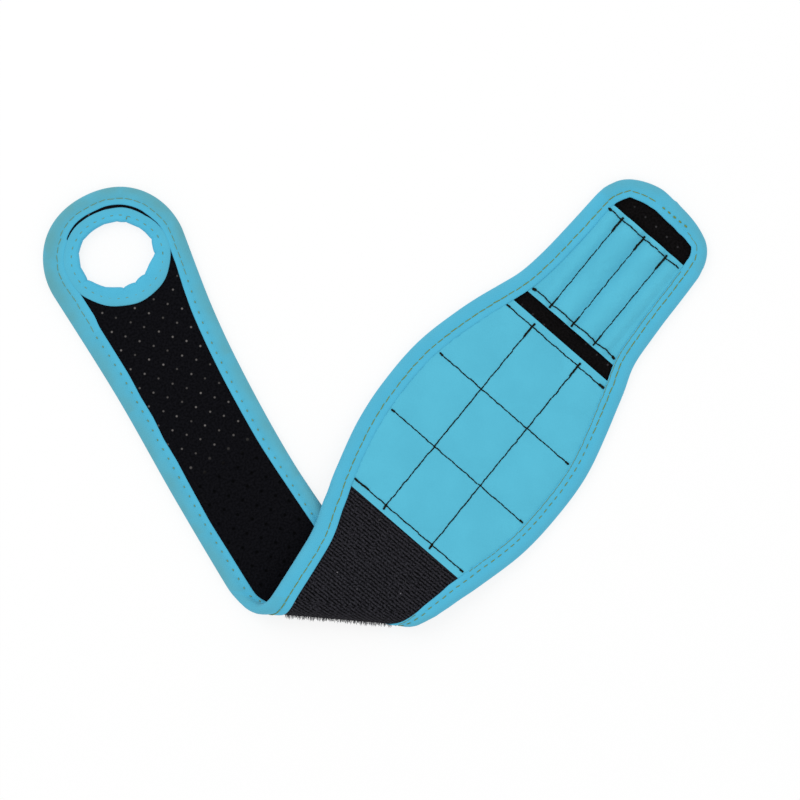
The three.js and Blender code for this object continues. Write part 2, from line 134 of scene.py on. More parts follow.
def spline(points: Marks, steps: int = 24) -> Array:
    """Draw a smooth line through marks, with a number of points for each stretch between them.

    Args:
        points: Places to go through.
        steps: Points for each stretch between them.

    Returns:
        Places along the line.
    """
    marks = np.array(points, dtype=float)
    slopes = np.vstack([marks[1] - marks[0], marks[2:] - marks[:-2], marks[-1] - marks[-2]]) / 2
    share = np.linspace(0.0, 1.0, steps, endpoint=False)[:, None]
    rows = [np.polyval(cubic(*ends), share) for ends in zip(marks[:-1], marks[1:], slopes[:-1], slopes[1:])]
    return np.vstack([*rows, marks[-1:]])


class Chart(Enum):
    """The flat pattern on which a place is given."""

    PANEL = "panel"
    FOLD = "fold"
    STRAP = "strap"


class Side(Enum):
    """An edge of the band, as seen in the rest position."""

    LEFT = "left"
    RIGHT = "right"


@dataclass
class Rim:
    """A pattern's outer edge, run counter-clockwise from the fold up the right side and down the left.

    Each place has its row of the pattern as a mark, and at the apex the right side ends and the left begins.
    """

    points: Array
    marks: Array
    apex: int
    reach: float = 0.8

    def __post_init__(self) -> None:
        """Measure the edge."""
        self.lengths = run_along(self.points)

    def part(self, side: Side) -> slice:
        """Pick the places on one side, from the fold on."""
        return slice(0, self.apex + 1) if side is Side.RIGHT else slice(None, self.apex - 1, -1)

    def where(self, side: Side, mark: Array | float) -> Array:
        """Find how far along the edge rows cross one side."""
        cut = self.part(side)
        return np.interp(mark, self.marks[cut], self.lengths[cut])

    def sample(self, lengths: Array) -> tuple[Array, Array]:
        """Read places on the edge, and the unit vectors inward from it, at lengths along it.

        Args:
            lengths: Lengths along the edge.

        Returns:
            The places and the directions inward.
        """
        low, middle, high = (read_along(lengths + step, self.lengths, self.points)
                             for step in (-self.reach, 0.0, self.reach))
        run = unit(high - low)
        return middle, np.stack([-run[:, 1], run[:, 0]], axis=-1)


@dataclass
class BandShape:
    """Layers, patterns and fold of the whole band, and the way from a pattern to its place in space.

    A depth is measured from the front, which is up on the panel and down on the strap.
    """

    origin: Array
    thick: float = 5.7
    face_depth: float = 1.0
    face: float = 0.9
    lining_depth: float = 2.2
    lining: float = 2.5
    tape_width: float = 9.7
    panel_angle: float = 50.7
    row_skew: float = 1.6
    hem: float = 4.0
    row_lines: tuple[float, ...] = (0.0, 38.5, 75.8, 116.0)
    column_line: float = 15.1
    cells_end: float = 120.0
    channel_start: float = 128.0
    channel_end: float = 190.5
    channel_hem: float = 188.6
    tip_length: float = 20.4
    tip_half: float = 32.8
    tip_squareness: float = 2.25
    rise: float = 6.5
    rise_ease: float = 14.0
    tip_fall: float = 0.05
    tip_sway: float = 0.6
    fall_ease: Pair = (4.0, 12.0)
    sway_ease: Pair = (125.0, 30.0)
    trim_ease: Pair = (3.0, 6.0)
    strap_angle: float = 120.9
    ring_place: Pair = (-146.2, 134.0)
    ring_radius: float = 36.4
    ring_flat: float = 1.6
    ring_flat_turn: float = 4.0
    ring_flat_power: int = 6
    ring_join: float = -8.0
    hole_place: Pair = (1.1, 0.5)
    facing_wide: float = 27.0
    facing_high: float = 25.3
    ring_cut: float = -27.0
    fold_angle: float = -5.0
    fold_place: Pair = (-37.8, -47.2)
    # Right edge of the panel from the fold to the tip, which the left edge mirrors, and both edges of the strap.
    panel_edge: Marks = (
        (29, -85), (33, -50), (36, -31), (42, -15), (46.8, 0), (53, 25), (55, 50), (54, 75), (48.3, 100),
        (41.8, 120), (37.2, 134), (35.2, 150), (33.9, 170))
    strap_right: Marks = (
        (30, -232), (25.0, -160), (23.8, -125), (25.4, -82), (28.9, -46))
    strap_left: Marks = (
        (-35.1, -60), (-36.5, -120), (-36.6, -180), (-35, -235))
    # How far the panel is cut inside that edge, by row at its sides and by width round the tip.
    trim_right: Marks = (
        (-60, -3.2), (-37, -3.2), (-31, -2.7), (-25, -1.5), (-19, -0.95), (-13, -0.35), (0, -0.15), (40, 0.15),
        (80, 0.65), (105, 0.95), (120, 0.5), (135, 0.7), (160, 0.4), (185, -0.2), (250, 0.0))
    trim_left: Marks = (
        (-60, 0.0), (-25, 0.0), (-13, 0.6), (-4, 0.4), (25, 0.2), (50, -0.25), (108, -0.4), (125, 0.0), (165, 0.3),
        (185, 0.3), (250, 0.3))
    trim_tip: Marks = (
        (-40, 0.35), (-31, 0.6), (-28, 0.1), (-23, -0.45), (-10, -0.8), (-4, -0.2), (0, 0.5), (6, 1.1), (20, 1.05),
        (26, 0.75), (32, 0.9), (34, 0.4), (40, 0.0))
    # Radius of the thumb hole, and how far the facing lies inside its oval, by angle.
    hole_edge: Marks = (
        (0, 18.0), (35, 18.4), (60, 17.4), (90, 16.9), (120, 17.0), (150, 18.0), (170, 18.7), (210, 18.3),
        (240, 16.8), (270, 15.5), (315, 15.4), (335, 16.2), (347, 16.6), (360, 18.0))
    facing_in: Marks = (
        (0, 0.0), (25, 0.0), (45, 1.0), (55, 1.25), (62, 1.0), (72, 0.9), (85, 0.95), (95, 1.2), (105, 1.5),
        (113, 1.95), (120, 2.0), (130, 1.7), (140, 1.4), (155, 1.2), (170, 0.6), (190, 0.0), (360, 0.0))

    def __post_init__(self) -> None:
        """Work out directions, edges and the fold from the sizes."""
        self.panel_x = heading(self.panel_angle - 90)
        self.panel_y = heading(self.panel_angle)
        self.strap_x = heading(self.strap_angle - 90)
        self.strap_y = heading(self.strap_angle)
        self.skew = math.tan(math.radians(self.row_skew))
        self.row_along = heading(self.panel_angle - 90 - self.row_skew)
        self.row_across = heading(self.panel_angle - self.row_skew)
        self.tip_end = self.channel_end + self.tip_length
        self.tilt = math.radians(self.rise)
        self.ring_world = self.origin + np.array(self.ring_place)
        self.fold_middle = self.origin + np.array(self.fold_place)
        self.fold_along = heading(self.fold_angle)
        self.fold_out = heading(self.fold_angle - 90)
        self.slope_front = self._panel_plane(np.zeros((1, 2)), 0.0)[0]
        flat_normal = self.row_across * math.sin(self.tilt)
        self.slope_fall = flat_normal / math.cos(self.tilt)
        self.fold_lean = math.atan(-float(self.fold_out @ self.slope_fall))
        self.fold_sweep = math.pi + self.fold_lean
        self.panel_rim = self._make_panel_rim()
        self.strap_rim = self._make_strap_rim()
        self.fold_edges = {side: self._make_fold_edge(side) for side in Side}

    def _make_panel_rim(self) -> Rim:
        """Draw the panel's edge up the right side, round the tip and down the left.

        Returns:
            The edge.
        """
        power = 2 / self.tip_squareness
        turns = np.linspace(0.0, math.pi / 2, 9)[:-1]
        corner = [(self.tip_half * math.cos(turn) ** power,
                   self.channel_end + self.tip_length * math.sin(turn) ** power) for turn in turns]
        right = spline([*self.panel_edge, *corner, (0.0, self.tip_end)])
        left = right[::-1][1:] * np.array([-1.0, 1.0])
        before, run = self.fall_ease
        left[:, 1] += self.tip_fall * left[:, 0] * ease((left[:, 1] - self.channel_end + before) / run)
        points = np.vstack([right, left])
        start, run = self.sway_ease
        points[:, 0] += self.tip_sway * ease((points[:, 1] - start) / run)
        tables = [spline(marks).T for marks in (self.trim_right, self.trim_left, self.trim_tip)]
        sides = np.where(np.arange(len(points)) < len(right), np.interp(points[:, 1], *tables[0]),
                         np.interp(points[:, 1], *tables[1]))
        before, run = self.trim_ease
        share = ease((points[:, 1] - self.channel_end + before) / run)
        drawn = Rim(points, points[:, 1], len(right) - 1)
        inward = drawn.sample(drawn.lengths)[1]
        points = points + (sides + (np.interp(points[:, 0], *tables[2]) - sides) * share)[:, None] * inward
        return Rim(points, points[:, 1] + points[:, 0] * self.skew, len(right) - 1)

    def _make_strap_rim(self) -> Rim:
        """Draw the strap's edge up the right side, round the thumb ring and down the left.

        Returns:
            The edge.
        """
        turns = np.radians(np.linspace(self.ring_join, 180.0, 160))
        top = np.maximum(np.sin(turns + math.radians(self.ring_flat_turn)), 0.0)
        radius = self.ring_radius - self.ring_flat * top**self.ring_flat_power
        arc = radius[:, None] * polar(turns)
        right = spline([*self.strap_right, tuple(arc[0])])
        left = spline([tuple(arc[-1]), *self.strap_left])
        points = np.vstack([right[:-1], arc, left[1:]])
        return Rim(points, points[:, 1], len(right) - 1 + int(np.argmax(arc[:, 1])))

    def fold_radius(self, along: Array) -> Array:
        """Give the fold's outer radius at places along its line.

        Args:
            along: Places along the fold's line.

        Returns:
            The radii.
        """
        base = self.fold_middle + along[:, None] * self.fold_along
        height = self.slope_front[2] + (self.slope_front[:2] - base) @ self.slope_fall
        lean = math.tan(self.fold_lean)
        return height / (1 + lean + math.hypot(1, lean))

    def _fold_axes(self, places: Array) -> tuple[Array, Array]:
        """Split places on the ground into lengths along the fold's line and out from it."""
        away = places[:, :2] - self.fold_middle
        return away @ self.fold_along, away @ self.fold_out

    def _past_top(self, points: Array) -> tuple[Array, Array]:
        """Measure how far panel places lie past the line where the fold begins.

        Args:
            points: Places on the panel pattern.

        Returns:
            How far along the fold and how far past that line.
        """
        front = self._panel_plane(points, 0.0)
        along, out = self._fold_axes(front)
        top = -self.fold_radius(along) * (1 + math.sin(self.fold_lean))
        return along, (out - top) / math.cos(self.fold_lean)

    def _past_bottom(self, points: Array) -> tuple[Array, Array]:
        """Measure how far strap places lie past the line where the fold begins."""
        along, out = self._fold_axes(self._strap_ground(points))
        return along, out + self.fold_radius(along)

    def _make_fold_edge(self, side: Side) -> dict[str, float]:
        """Find where an edge meets the fold on both patterns, and how it leans there.

        Args:
            side: The edge.

        Returns:
            The rows of both patterns at the fold, and the ends and leans of the edge along the fold.
        """
        found = {}
        step = 2.0 if side is Side.RIGHT else -2.0
        for name, rim, measure, sign in (("top", self.panel_rim, self._past_top, 1.0),
                                         ("bottom", self.strap_rim, self._past_bottom, -1.0)):
            cut = rim.part(side)
            past = measure(rim.points[cut])[1]
            order = np.argsort(past)
            length = float(np.interp(0.0, past[order], rim.lengths[cut][order]))
            along, depth = measure(rim.sample(np.array([length, length + step]))[0])
            lean = (along[1] - along[0]) / (depth[1] - depth[0])
            found[name + "_mark"] = float(np.interp(length, rim.lengths, rim.marks))
            found[name + "_along"] = float(along[0])
            found[name + "_lean"] = float(lean * self.fold_radius(along[:1])[0] * sign)
        return found

    def edge_on_fold(self, side: Side, turn: Array) -> tuple[Array, Array]:
        """Give an edge's places along the fold, and its lean, at turns round it.

        Args:
            side: The edge.
            turn: Turns round the fold.

        Returns:
            The places and the leans.
        """
        edge, sweep = self.fold_edges[side], self.fold_sweep
        factors = cubic(edge["top_along"], edge["bottom_along"], edge["top_lean"] * sweep,
                        edge["bottom_lean"] * sweep)
        share = turn / sweep
        return np.polyval(factors, share), np.polyval(np.polyder(factors), share) / sweep

    def edge(self, chart: Chart, side: Side, mark: Array | float) -> tuple[Array, Array]:
        """Give places on an edge and the directions inward, on a pattern.

        Args:
            chart: The pattern.
            side: The edge.
            mark: Rows of the pattern, or turns round the fold.

        Returns:
            The places and the inward directions.
        """
        mark = np.atleast_1d(mark)
        if chart is Chart.FOLD:
            along, lean = self.edge_on_fold(side, mark)
            radius = self.fold_radius(along)
            normal = unit(np.stack([radius, -lean], axis=-1))
            normal = normal if side is Side.LEFT else -normal
            normal[:, 1] /= radius
            return np.stack([along, mark], axis=-1), normal
        rim = self.panel_rim if chart is Chart.PANEL else self.strap_rim
        return rim.sample(rim.where(side, mark))

    def place(self, chart: Chart, points: Array, depth: Array | float) -> Array:
        """Place points of a pattern in space.

        Args:
            chart: The pattern.
            points: Places on it.
            depth: Depth below the front, of all or of each.

        Returns:
            Places in space.
        """
        depth = np.broadcast_to(depth, len(points))
        if chart is Chart.FOLD:
            return self.on_fold(*points.T, depth)
        if chart is Chart.PANEL:
            placed = self._panel_plane(points, depth)
            along, past = self._past_top(points)
            turn = past / self.fold_radius(along)
        else:
            placed = np.column_stack([self._strap_ground(points), depth])
            along, past = self._past_bottom(points)
            turn = self.fold_sweep - past / self.fold_radius(along)
        over = past > 0
        if over.any():
            placed[over] = self.on_fold(along[over], turn[over], depth[over])
        return placed

    def _panel_plane(self, points: Array, depth: Array | float) -> Array:
        """Place panel points on the flat rows and on the slope that leads up to the fold.

        Args:
            points: Places on the panel pattern.
            depth: Depth below the front.

        Returns:
            Places in space.
        """
        across = (points[:, 0] * math.sin(math.radians(self.row_skew))
                  + (points[:, 1] - self.row_lines[1]) * math.cos(math.radians(self.row_skew)))
        width = self.rise_ease
        share = np.clip((width - across) / (2 * width), 0.0, 1.0)
        lift = math.sin(self.tilt) * np.where(across < -width, -across, share**2 * width)
        turn = self.tilt * share
        ground = (self.origin + points[:, :1] * self.panel_x + points[:, 1:] * self.panel_y
                  + np.maximum(-across, 0.0)[:, None] * (1 - math.cos(self.tilt)) * self.row_across)
        height = self.thick - depth
        flat = ground + (height * np.sin(turn))[:, None] * self.row_across
        return np.column_stack([flat, lift + height * np.cos(turn)])

    def _strap_ground(self, points: Array) -> Array:
        """Place strap points on the ground."""
        return self.ring_world + points[:, :1] * self.strap_x + points[:, 1:] * self.strap_y

    def on_fold(self, along: Array, turn: Array | float, depth: Array | float) -> Array:
        """Place points on the fold, which runs on flat past both its ends.

        Args:
            along: Places along the fold's line.
            turn: Turns round it.
            depth: Depth below the front.

        Returns:
            Places in space.
        """
        radius = self.fold_radius(along)
        angle = math.pi / 2 + self.fold_lean - np.clip(turn, 0.0, self.fold_sweep)
        before = np.minimum(turn, 0.0) * radius
        after = np.maximum(turn - self.fold_sweep, 0.0) * radius
        out = -radius + (radius - depth) * np.cos(angle) + before * math.cos(self.fold_lean) - after
        high = radius + (radius - depth) * np.sin(angle) + before * math.sin(self.fold_lean)
        ground = self.fold_middle + along[:, None] * self.fold_along + out[:, None] * self.fold_out
        return np.column_stack([ground, high])

    def flat(self, chart: Chart, points: Array, onto: Chart) -> Array:
        """Roll points of the fold out flat onto a pattern, and leave others as they are.

        Args:
            chart: The pattern that the points are given on.
            points: Places on it.
            onto: The pattern that the fold is rolled out onto.

        Returns:
            Flat places.
        """
        if chart is not Chart.FOLD:
            return points
        along, turn = points[:, 0], points[:, 1]
        radius = self.fold_radius(along)
        if onto is Chart.PANEL:
            out = -radius * (1 + math.sin(self.fold_lean)) + turn * radius
            axes, centre = (self.panel_x, self.panel_y), self.origin
        else:
            out = -radius + (self.fold_sweep - turn) * radius
            axes, centre = (self.strap_x, self.strap_y), self.ring_world
        ground = self.fold_middle + along[:, None] * self.fold_along + out[:, None] * self.fold_out - centre
        return np.stack([ground @ axes[0], ground @ axes[1]], axis=-1)

    def hole_radius(self, turns: Array) -> Array:
        """Give the thumb hole's radius at angles in degrees on the strap pattern."""
        return np.interp((turns + self.strap_angle - 90) % 360, *spline(self.hole_edge).T)

    def facing_radius(self, turns: Array) -> Array:
        """Give the radius of the facing's outer edge, an uneven oval, at angles in degrees on the strap pattern.

        Args:
            turns: The angles.

        Returns:
            The radii.
        """
        angle = (turns + self.strap_angle - 90) % 360
        turn = np.radians(angle)
        oval = 1.0 / np.hypot(np.cos(turn) / self.facing_wide, np.sin(turn) / self.facing_high)
        return oval - np.interp(angle, *zip(*self.facing_in))

    def turned_over(self, half: Array) -> Array:
        """Turn half of a section, given by widths and depths, over to the other face, without its first place."""
        return half[::-1][1:] * (1.0, -1.0) + (0.0, self.thick)

    def on_row(self, x: Array, mark: Array) -> Array:
        """Give places on the panel pattern by width and row."""
        return np.stack([x, mark - x * self.skew], axis=-1)

    def half_width(self, mark: Array | float) -> Array:
        """Give the panel's half width at rows."""
        return self.edge(Chart.PANEL, Side.RIGHT, mark)[0][:, 0]


@dataclass(frozen=True)
class Row:
    """A line across the band, from the left edge to the right, given by its rows on a pattern."""

    chart: Chart
    left: float
    right: float

    def at(self, side: Side) -> float:
        """Give the row at one edge."""
        return self.left if side is Side.LEFT else self.right


@dataclass
class Section:
    """A stretch of the band from the middle of one segment to the middle of the next, over one bend."""

    name: str
    before: str
    after: str
    stands_for: str
    rows: list[Row]
    start: tuple[float, float, float]
    end: tuple[float, float, float]

    def slants(self) -> Array:
        """Give how far the tape keeps to each row instead of square to its edge: all the way on the fold only.

        Returns:
            A share for each row.
        """
        fold = np.array([row.chart is Chart.FOLD for row in self.rows], dtype=float)
        places = np.arange(len(fold))
        known = (fold > 0) | (places == 0) | (places == places[-1])
        return np.interp(places, places[known], fold[known])

    def carry(self, piece: Piece, slot: str, *nodes: str) -> None:
        """Bake a piece's transform, and hide the solids that it stands for.

        Args:
            piece: The piece.
            slot: Not used.
            nodes: Solids that the piece stands for, without the segment's name.
        """
        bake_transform(piece)
        if nodes:
            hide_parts(*(f"{self.stands_for}_{node}" for node in nodes))


@dataclass
class Band:
    """The band's shape with its stretches, in order from the thumb ring to the tip."""

    shape: BandShape
    row_step: float = 1.3
    strap_step: float = 1.95
    fold_step: float = 3.0
    fold_depths: Pair = (-1.2, 5.0)
    fold_margin: float = 0.05
    strap_cuts: Pair = (-70.0, -140.0)
    panel_cuts: tuple[float, ...] = (19.0, 57.0, 97.0, 158.0)
    tip_margin: float = 5.0

    def __post_init__(self) -> None:
        """Cut the band into stretches."""
        self.joints = {joint["name"]: joint for joint in frame["joints"]}
        self.sections = self._make_sections()

    def rows(self, chart: Chart, start: Array | float, stop: Array | float, step: float) -> list[Row]:
        """Make rows that go over from one line across the band to another.

        Args:
            chart: The pattern.
            start: Row of the first line, or its rows at the left edge and at the right.
            stop: The same for the last line.
            step: The most that one row is away from the next.

        Returns:
            The rows.
        """
        first = np.broadcast_to(start, 2)
        way = np.broadcast_to(stop, 2) - first
        count = max(2, math.ceil(np.abs(way).max() / step))
        return [Row(chart, *(first + way * share)) for share in np.linspace(0.0, 1.0, count + 1)]

    def fold_turn(self, angle: float) -> float:
        """Give the turn round the fold at an angle from its outermost line."""
        return math.pi / 2 + self.shape.fold_lean - math.radians(angle)

    def fold_rows(self, start: float, stop: float) -> list[Row]:
        """Make rows round the fold between two angles from its outermost line."""
        return self.rows(Chart.FOLD, self.fold_turn(start), self.fold_turn(stop), math.radians(self.fold_step))

    def _hinge(self, name: str) -> Array:
        """Read a joint's place in millimetres."""
        return np.array(self.joints[name]["pos_m"]) / MM

    def _window(self, joint: str, direction: Array, start: float, end: float) -> list[tuple]:
        """Give the ends of a bend, in metres, measured from its joint along a direction."""
        return [tuple((self._hinge(joint) + direction * far) * MM) for far in (start, end)]

    def _fold_window(self, joint: str, angles: Pair, lean: Pair,
                     fixed: tuple[int, ...]) -> list[tuple]:
        """Give the ends of a bend round part of the fold.

        Args:
            joint: The joint's name.
            angles: Angles from the outermost line between which the cloth bends.
            lean: Outward and upward parts of the direction in which the bend is measured.
            fixed: Which of the ends 0 and 1 meet a stretch of the fold and must be reached all along it.

        Returns:
            The two ends, in metres.
        """
        shape = self.shape
        axis = unit(np.array(self.joints[joint]["axis"], dtype=float))
        direction = np.append(shape.fold_out * lean[0], lean[1])
        direction = unit(direction - axis * (direction @ axis))
        reach = []
        for angle in angles:
            turn = self.fold_turn(angle)
            edges = [shape.edge_on_fold(side, turn)[0] for side in Side]
            spots = shape.on_fold(np.repeat(edges, len(self.fold_depths)), turn,
                                  np.tile(self.fold_depths, len(edges)))
            reach.append((spots - self._hinge(joint)) @ direction)
        start, end = float(np.mean(reach[0])), float(np.mean(reach[1]))
        if 0 in fixed:
            start = float(np.max(reach[0])) + self.fold_margin
        if 1 in fixed:
            end = float(np.min(reach[1])) - self.fold_margin
        return self._window(joint, direction, start, end)

    def _make_sections(self) -> list[Section]:
        """Cut the band at the middle of each segment.

        Returns:
            The stretches.
        """
        shape = self.shape
        bottom, top = (np.array([shape.fold_edges[side][end] for side in Side])
                       for end in ("bottom_mark", "top_mark"))
        patch = (top - shape.hem) / 2
        first, second = self.strap_cuts
        up_strap, up_panel = np.append(shape.strap_y, 0.0), np.append(shape.row_across, 0.0)
        sections = [
            Section("thumb_end", "outer_strap", "thumb_loop", "outer_strap",
                    self.rows(Chart.STRAP, shape.ring_cut, first, self.strap_step),
                    *self._window("thumb_loop_bend", up_strap, -4.6, 4.6)),
            Section("strap", "inner_strap", "outer_strap", "inner_strap",
                    self.rows(Chart.STRAP, first, second, self.strap_step),
                    *self._window("strap_bend", up_strap, -9.0, 9.0)),
            Section("fold_low", "inner_strap", "lower_fold", "lower_fold",
                    self.rows(Chart.STRAP, second, bottom, self.strap_step)[:-1] + self.fold_rows(-90.0, -30.0),
                    *self._fold_window("fold_open", (-90.0, -30.0), (0.866, 0.5), (1,))),
            Section("fold_crest", "lower_fold", "upper_fold", "upper_fold", self.fold_rows(-30.0, 30.0),
                    *self._fold_window("fold_crest_open", (-30.0, 30.0), (0.0, 1.0), (0, 1))),
            Section("fold_high", "upper_fold", "loop_patch", "loop_patch",
                    self.fold_rows(30.0, 90.0 + math.degrees(shape.fold_lean))[:-1]
                    + self.rows(Chart.PANEL, top, patch, self.row_step),
                    *self._fold_window("fold_top_open", (30.0, 90.0), (-0.866, 0.5), (0,))),
            Section("hem", "loop_patch", "lower_row", "lower_row",
                    self.rows(Chart.PANEL, patch, -shape.hem, self.row_step)[:-1]
                    + self.rows(Chart.PANEL, -shape.hem, self.panel_cuts[0], self.row_step),
                    *self._window("hem_bend", up_panel, -6.0, 6.0)),
        ]
        ends = (*self.panel_cuts, shape.tip_end - self.tip_margin)
        seams = (("lower_seam", "middle_row", 8.0), ("upper_seam", "upper_row", 8.0), ("slot", "channels", 6.0),
                 ("tip", "tip", 5.0))
        for (name, body, reach), start, stop in zip(seams, ends[:-1], ends[1:]):
            sections.append(Section(name, sections[-1].after, body, body,
                                    self.rows(Chart.PANEL, start, stop, self.row_step),
                                    *self._window(f"{name}_bend", up_panel, -reach, reach)))
        return sections

    def section(self, name: str) -> Section:
        """Find a stretch by name."""
        return next(section for section in self.sections if section.name == name)

    def line_up(self, rows: list[Row], shares: Array) -> Array:
        """Lay points across rows.

        Args:
            rows: The rows.
            shares: Places across a row, from 0 at the left edge to 1 at the right.

        Returns:
            The places, by row and column.
        """
        left, right = (np.vstack([self.shape.edge(row.chart, side, row.at(side))[0] for row in rows])
                       for side in Side)
        return left[:, None] + (right - left)[:, None] * shares[None, :, None]


class Bench:
    """Modelling work that many pieces share."""

    @staticmethod
    def pick(piece: Piece | None = None) -> None:
        """Deselect everything, then select the piece if one is given.

        Args:
            piece: The piece.
        """
        bpy.ops.object.select_all(action="DESELECT")
        if piece is not None:
            piece.select_set(True)
            bpy.context.view_layer.objects.active = piece

    @staticmethod
    @contextmanager
    def editing(piece: Piece) -> Iterator[None]:
        """Open a piece in edit mode with all of it selected, and leave edit mode again.

        Args:
            piece: The piece.
        """
        Bench.pick(piece)
        bpy.ops.object.mode_set(mode="EDIT")
        bpy.ops.mesh.select_mode(type="EDGE")
        bpy.ops.mesh.select_all(action="SELECT")
        yield
        bpy.ops.object.mode_set(mode="OBJECT")

    @staticmethod
    def corners(piece: Piece) -> Array:
        """Read the places of a mesh's vertices."""
        found = np.empty(len(piece.data.vertices) * 3)
        piece.data.vertices.foreach_get("co", found)
        return found.reshape(-1, 3)

    @staticmethod
    def grid(name: str, columns: int, rows: int) -> tuple[Piece, Array, Array]:
        """Add a flat grid to be shaped.

        Args:
            name: The piece's name.
            columns: Faces across.
            rows: Faces along.

        Returns:
            The object, and each vertex's column and row.
        """
        Bench.pick()
        bpy.ops.mesh.primitive_grid_add(x_subdivisions=columns, y_subdivisions=rows, size=1.0)
        piece = bpy.context.object
        piece.name = piece.data.name = name
        column, row = np.rint((Bench.corners(piece)[:, :2] + 0.5) * (columns, rows)).astype(int).T
        return piece, column, row

    @staticmethod
    def shape(piece: Piece, points: Array) -> None:
        """Move a mesh's vertices to places in millimetres."""
        piece.data.vertices.foreach_set("co", np.ascontiguousarray(points * MM, dtype=np.float32).ravel())
        piece.data.update()

    @staticmethod
    def lay_out(piece: Piece, flat: Array) -> None:
        """Give a mesh the flat layout, in millimetres for each vertex, that its cloth was cut to.

        Args:
            piece: The piece.
            flat: Flat place of each vertex.
        """
        mesh = piece.data
        layer = mesh.uv_layers[0] if mesh.uv_layers else mesh.uv_layers.new(name=PATTERN)
        layer.name = PATTERN
        corners = np.empty(len(mesh.loops), dtype=int)
        mesh.loops.foreach_get("vertex_index", corners)
        layer.data.foreach_set("uv", (flat[corners] * UV_PER_MM).astype(np.float32).ravel())

    @staticmethod
    def cloth(piece: Piece, points: Array, flat: Array, thickness: float, ring: bool = False) -> None:
        """Shape a grid into cloth.

        Args:
            piece: The grid.
            points: Places of its vertices on the cloth's face.
            flat: Their flat places.
            thickness: The cloth's thickness, which lies behind its face.
            ring: Whether the grid closes on itself, clockwise.
        """
        Bench.shape(piece, points)
        Bench.lay_out(piece, flat)
        if ring:
            with Bench.editing(piece):
                bpy.ops.mesh.remove_doubles(threshold=1e-6)
                bpy.ops.mesh.flip_normals()
        Bench.pick(piece)
        wall = piece.modifiers.new("thickness", "SOLIDIFY")
        wall.thickness = thickness * MM
        wall.offset = -1.0
        wall.use_even_offset = False
        bpy.ops.object.modifier_apply(modifier=wall.name)
        Bench.smooth(piece)

    @staticmethod
    def tape(piece: Piece, points: Array, flat: Array, edge_shade: Array, caps: bool) -> None:
        """Shape a grid into tape, whose section closes on itself, and turn its faces out.

        Args:
            piece: The grid.
            points: Places of its vertices.
            flat: Their flat places.
            edge_shade: How much painted grey shade the tape gets along its outer edge at each, for its finish to
                read.
            caps: Whether its ends are open and need faces.
        """
        Bench.shape(piece, points)
        Bench.lay_out(piece, flat)
        # Store how much painted shade the tape's outer edge gets, for its finish to read.
        piece.data.attributes.new("edge_shade", "FLOAT", "POINT").data.foreach_set("value", edge_shade.astype(np.float32))
        with Bench.editing(piece):
            bpy.ops.mesh.remove_doubles(threshold=1e-6)
            if caps:
                bpy.ops.mesh.select_all(action="DESELECT")
                bpy.ops.mesh.select_non_manifold(extend=False, use_wire=False, use_boundary=True,
                                                 use_multi_face=False, use_non_contiguous=False, use_verts=False)
                bpy.ops.mesh.fill_holes(sides=0)
            bpy.ops.mesh.select_all(action="SELECT")
            bpy.ops.mesh.normals_make_consistent(inside=False)
        Bench.smooth(piece, 60.0)

    @staticmethod
    def smooth(piece: Piece, angle: float = 50.0) -> None:
        """Shade a piece smooth, apart from edges sharper than an angle."""
        Bench.pick(piece)
        bpy.ops.object.shade_smooth_by_angle(angle=math.radians(angle))

    @staticmethod
    def dress(piece: Piece, material: Material) -> None:
        """Put one material on a piece."""
        piece.data.materials.clear()
        piece.data.materials.append(material)

    @staticmethod
    def bead() -> tuple[Array, list[tuple[int, ...]]]:
        """Model one rounded bead of thread, one unit long each way, with its corners and faces in a fixed order.

        Returns:
            Its corners and faces.
        """
        Bench.pick()
        bpy.ops.mesh.primitive_uv_sphere_add(segments=6, ring_count=5, radius=1.0)
        seed = bpy.context.object
        with Bench.editing(seed):
            bpy.ops.transform.rotate(value=math.pi / 2, orient_axis="Y", center_override=(0.0, 0.0, 0.0))
        corners = Bench.corners(seed)
        order = np.lexsort(np.rint(corners / MM).T)
        rank = np.argsort(order)
        corners = corners[order]
        corners[:, 0] = np.sign(corners[:, 0]) * np.abs(corners[:, 0]) ** 0.5
        faces = sorted(tuple(rank[list(face.vertices)].tolist()) for face in seed.data.polygons)
        bpy.data.objects.remove(seed, do_unlink=True)
        return corners, faces

    @staticmethod
    def copies(name: str, material: Material, seed: tuple[Array, list[tuple[int, ...]]], centres: Array,
               frames: Array, sizes: Array) -> Piece:
        """Copy a modelled shape to many places in one piece.

        Args:
            name: The piece's name.
            material: Its material.
            seed: Corners and faces of the shape.
            centres: Places in millimetres.
            frames: Three axes for each place, one in each row.
            sizes: Size along each axis for each place.

        Returns:
            The piece.
        """
        corners, faces = seed
        points = centres[:, None, :] + np.einsum("nvk,nkj->nvj", corners[None] * sizes[:, None, :], frames)
        points = points.reshape(-1, 3)
        count = len(corners)
        loops = [tuple(index + count * copy for index in face) for copy in range(len(centres)) for face in faces]
        mesh = bpy.data.meshes.new(name)
        mesh.from_pydata((points * MM).tolist(), [], loops)
        mesh.update()
        piece = bpy.data.objects.new(name, mesh)
        bpy.context.collection.objects.link(piece)
        Bench.lay_out(piece, points[:, :2])
        Bench.smooth(piece, 80.0)
        Bench.dress(piece, material)
        return piece


